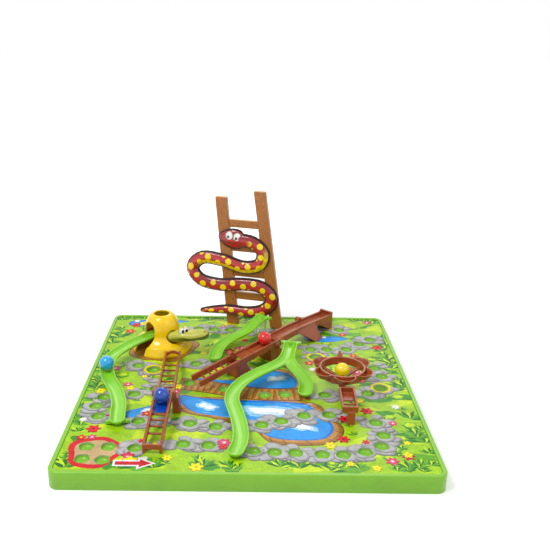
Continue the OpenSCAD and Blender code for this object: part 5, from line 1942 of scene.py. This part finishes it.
def face_colour(u, v, grow, length, width):
    """Colour of the head at shares along and across it; grow runs from its middle to its rim."""
    tone = blend_of(SNAKE_RED, (0.62, 0.02, 0.02), 1 - grow)
    if 0.05 < u < 0.68:
        tone = blend_of(tone, SNAKE_DARK, math.exp(-(((v + 0.22 - 0.3 * (u - 0.25) ** 2) / 0.028) ** 2)))
    tone = blend_of(tone, SNAKE_DARK, smooth_step(0.93, 0.99, grow))
    for eye_u in (0.06, 0.36):
        span = math.hypot((u - eye_u) / 0.13, (v - 0.17) / 0.22)
        pupil = math.hypot((u - eye_u - 0.03) / 0.05, (v - 0.08) / 0.085)
        tone = blend_of(tone, SNAKE_DARK, 1 - smooth_step(1.1, 1.2, span))
        tone = blend_of(tone, (0.9, 0.9, 0.88), 1 - smooth_step(0.95, 1.02, span))
        tone = blend_of(tone, (0.01, 0.01, 0.01), 1 - smooth_step(0.95, 1.05, pupil))
    for nostril_v in (-0.03, 0.1):
        span = math.hypot((u - 0.66) * length, (v - nostril_v) * width) / MM
        tone = blend_of(tone, SNAKE_DARK, 1 - smooth_step(0.6, 0.9, span))
    return tone


def snake_face(route):
    """The snake's raised head at its route's end, with its eyes and a smiling mouth line."""
    centre, turn = route[-1], heading(route, len(route) - 1)
    forward = Vector((math.cos(turn), math.sin(turn), 0.0))
    side = Vector((-math.sin(turn), math.cos(turn), 0.0))
    length, width = 28.0 * MM, 19.0 * MM
    rings, count = 14, 64
    verts, faces, colours = [], [], []
    for r in range(rings + 1):
        grow = r / rings
        for a in full_turn(count):
            u = length / 4 + length / 2 * math.cos(a) * grow
            v = width / 2 * (1 - 0.22 * math.cos(a) * grow) * math.sin(a) * grow
            rise = SNAKE_T * (0.25 + 0.74 * math.sqrt(max(0.0, 1 - grow**2)))
            q = centre + forward * u + side * v
            verts.append((q.x, SNAKE_FRONT - rise, q.y))
            colours.append(face_colour(u / length, -v / width, grow, length, width))
    verts += [(x, SNAKE_FRONT, z) for x, _, z in verts[-count:]]
    colours += [SNAKE_DARK] * count
    for r in range(rings + 1):
        for k in range(count):
            n, m = r * count + k, r * count + (k + 1) % count
            faces.append((n, m, m + count, n + count))
    faces.append(tuple(range(len(verts) - count, len(verts))))
    return snake_print("head", verts, faces, colours, [NO_SPOTS] * len(verts), [1.0] * len(verts))


class BOARD_OT_standing_snake(bpy.types.Operator):
    """Make the standing snake: its dark back board and its raised, spotted body"""

    bl_idname = "board.standing_snake"
    bl_label = "Standing snake"

    def execute(self, context):
        route = spline([Vector((STAND_SPAN * x, STAND_H * z, 0.0)) for x, z in SNAKE_SHARES], 20)
        mesh = reworked(joined("snake_print_body", [snake_body(route), snake_face(route)]), turn_outwards)
        mesh = moved(mesh, placed((FOOT_LEFT + FOOT_RIGHT) / 2, STAND_YAW))
        finish_piece(mesh, "snake_print_body", "board", snake_material(), ["snake_body"], 45)
        black = moulded_plastic("black_board", (0.012, 0.01, 0.01), 0.45, 0.2, 0.1)
        mesh = rounded_copy("snake_back", 0.25 * MM)
        finish_piece(mesh, "snake_back_board", "board", black, ["snake_back"], 35)
        return {"FINISHED"}


OPERATORS = (
    BOARD_OT_stage,
    BOARD_OT_tray,
    BOARD_OT_card,
    BOARD_OT_dome,
    BOARD_OT_slides,
    BOARD_OT_ladders,
    BOARD_OT_posts,
    BOARD_OT_balls,
    BOARD_OT_snake_head,
    BOARD_OT_standing_ladder,
    BOARD_OT_standing_snake,
)


class VIEW3D_PT_board(bpy.types.Panel):
    """Buttons and settings of the board"""

    bl_label = "Snakes and ladders board"
    bl_space_type = "VIEW_3D"
    bl_region_type = "UI"
    bl_category = "Board"

    def draw(self, context):
        layout = self.layout
        for settings in (context.scene.board_colours, context.scene.board_sizes):
            box = layout.box()
            for name in settings.bl_rna.properties.keys():
                if name not in ("rna_type", "name"):
                    box.prop(settings, name)
        for operator in OPERATORS:
            layout.operator(operator.bl_idname)


CLASSES = (BoardColours, BoardSizes, *OPERATORS, VIEW3D_PT_board)


def register():
    """Register the classes and the scene's settings."""
    for cls in CLASSES:
        bpy.utils.register_class(cls)
    bpy.types.Scene.board_colours = bpy.props.PointerProperty(type=BoardColours)
    bpy.types.Scene.board_sizes = bpy.props.PointerProperty(type=BoardSizes)


def unregister():
    """Take the classes and the settings away."""
    del bpy.types.Scene.board_colours
    del bpy.types.Scene.board_sizes
    for cls in reversed(CLASSES):
        bpy.utils.unregister_class(cls)


def main():
    """Make every piece in order."""
    register()
    for operator in OPERATORS:
        group, name = operator.bl_idname.split(".")
        getattr(getattr(bpy.ops, group), name)()
    bpy.context.view_layer.update()


if __name__ == "__main__":
    main()
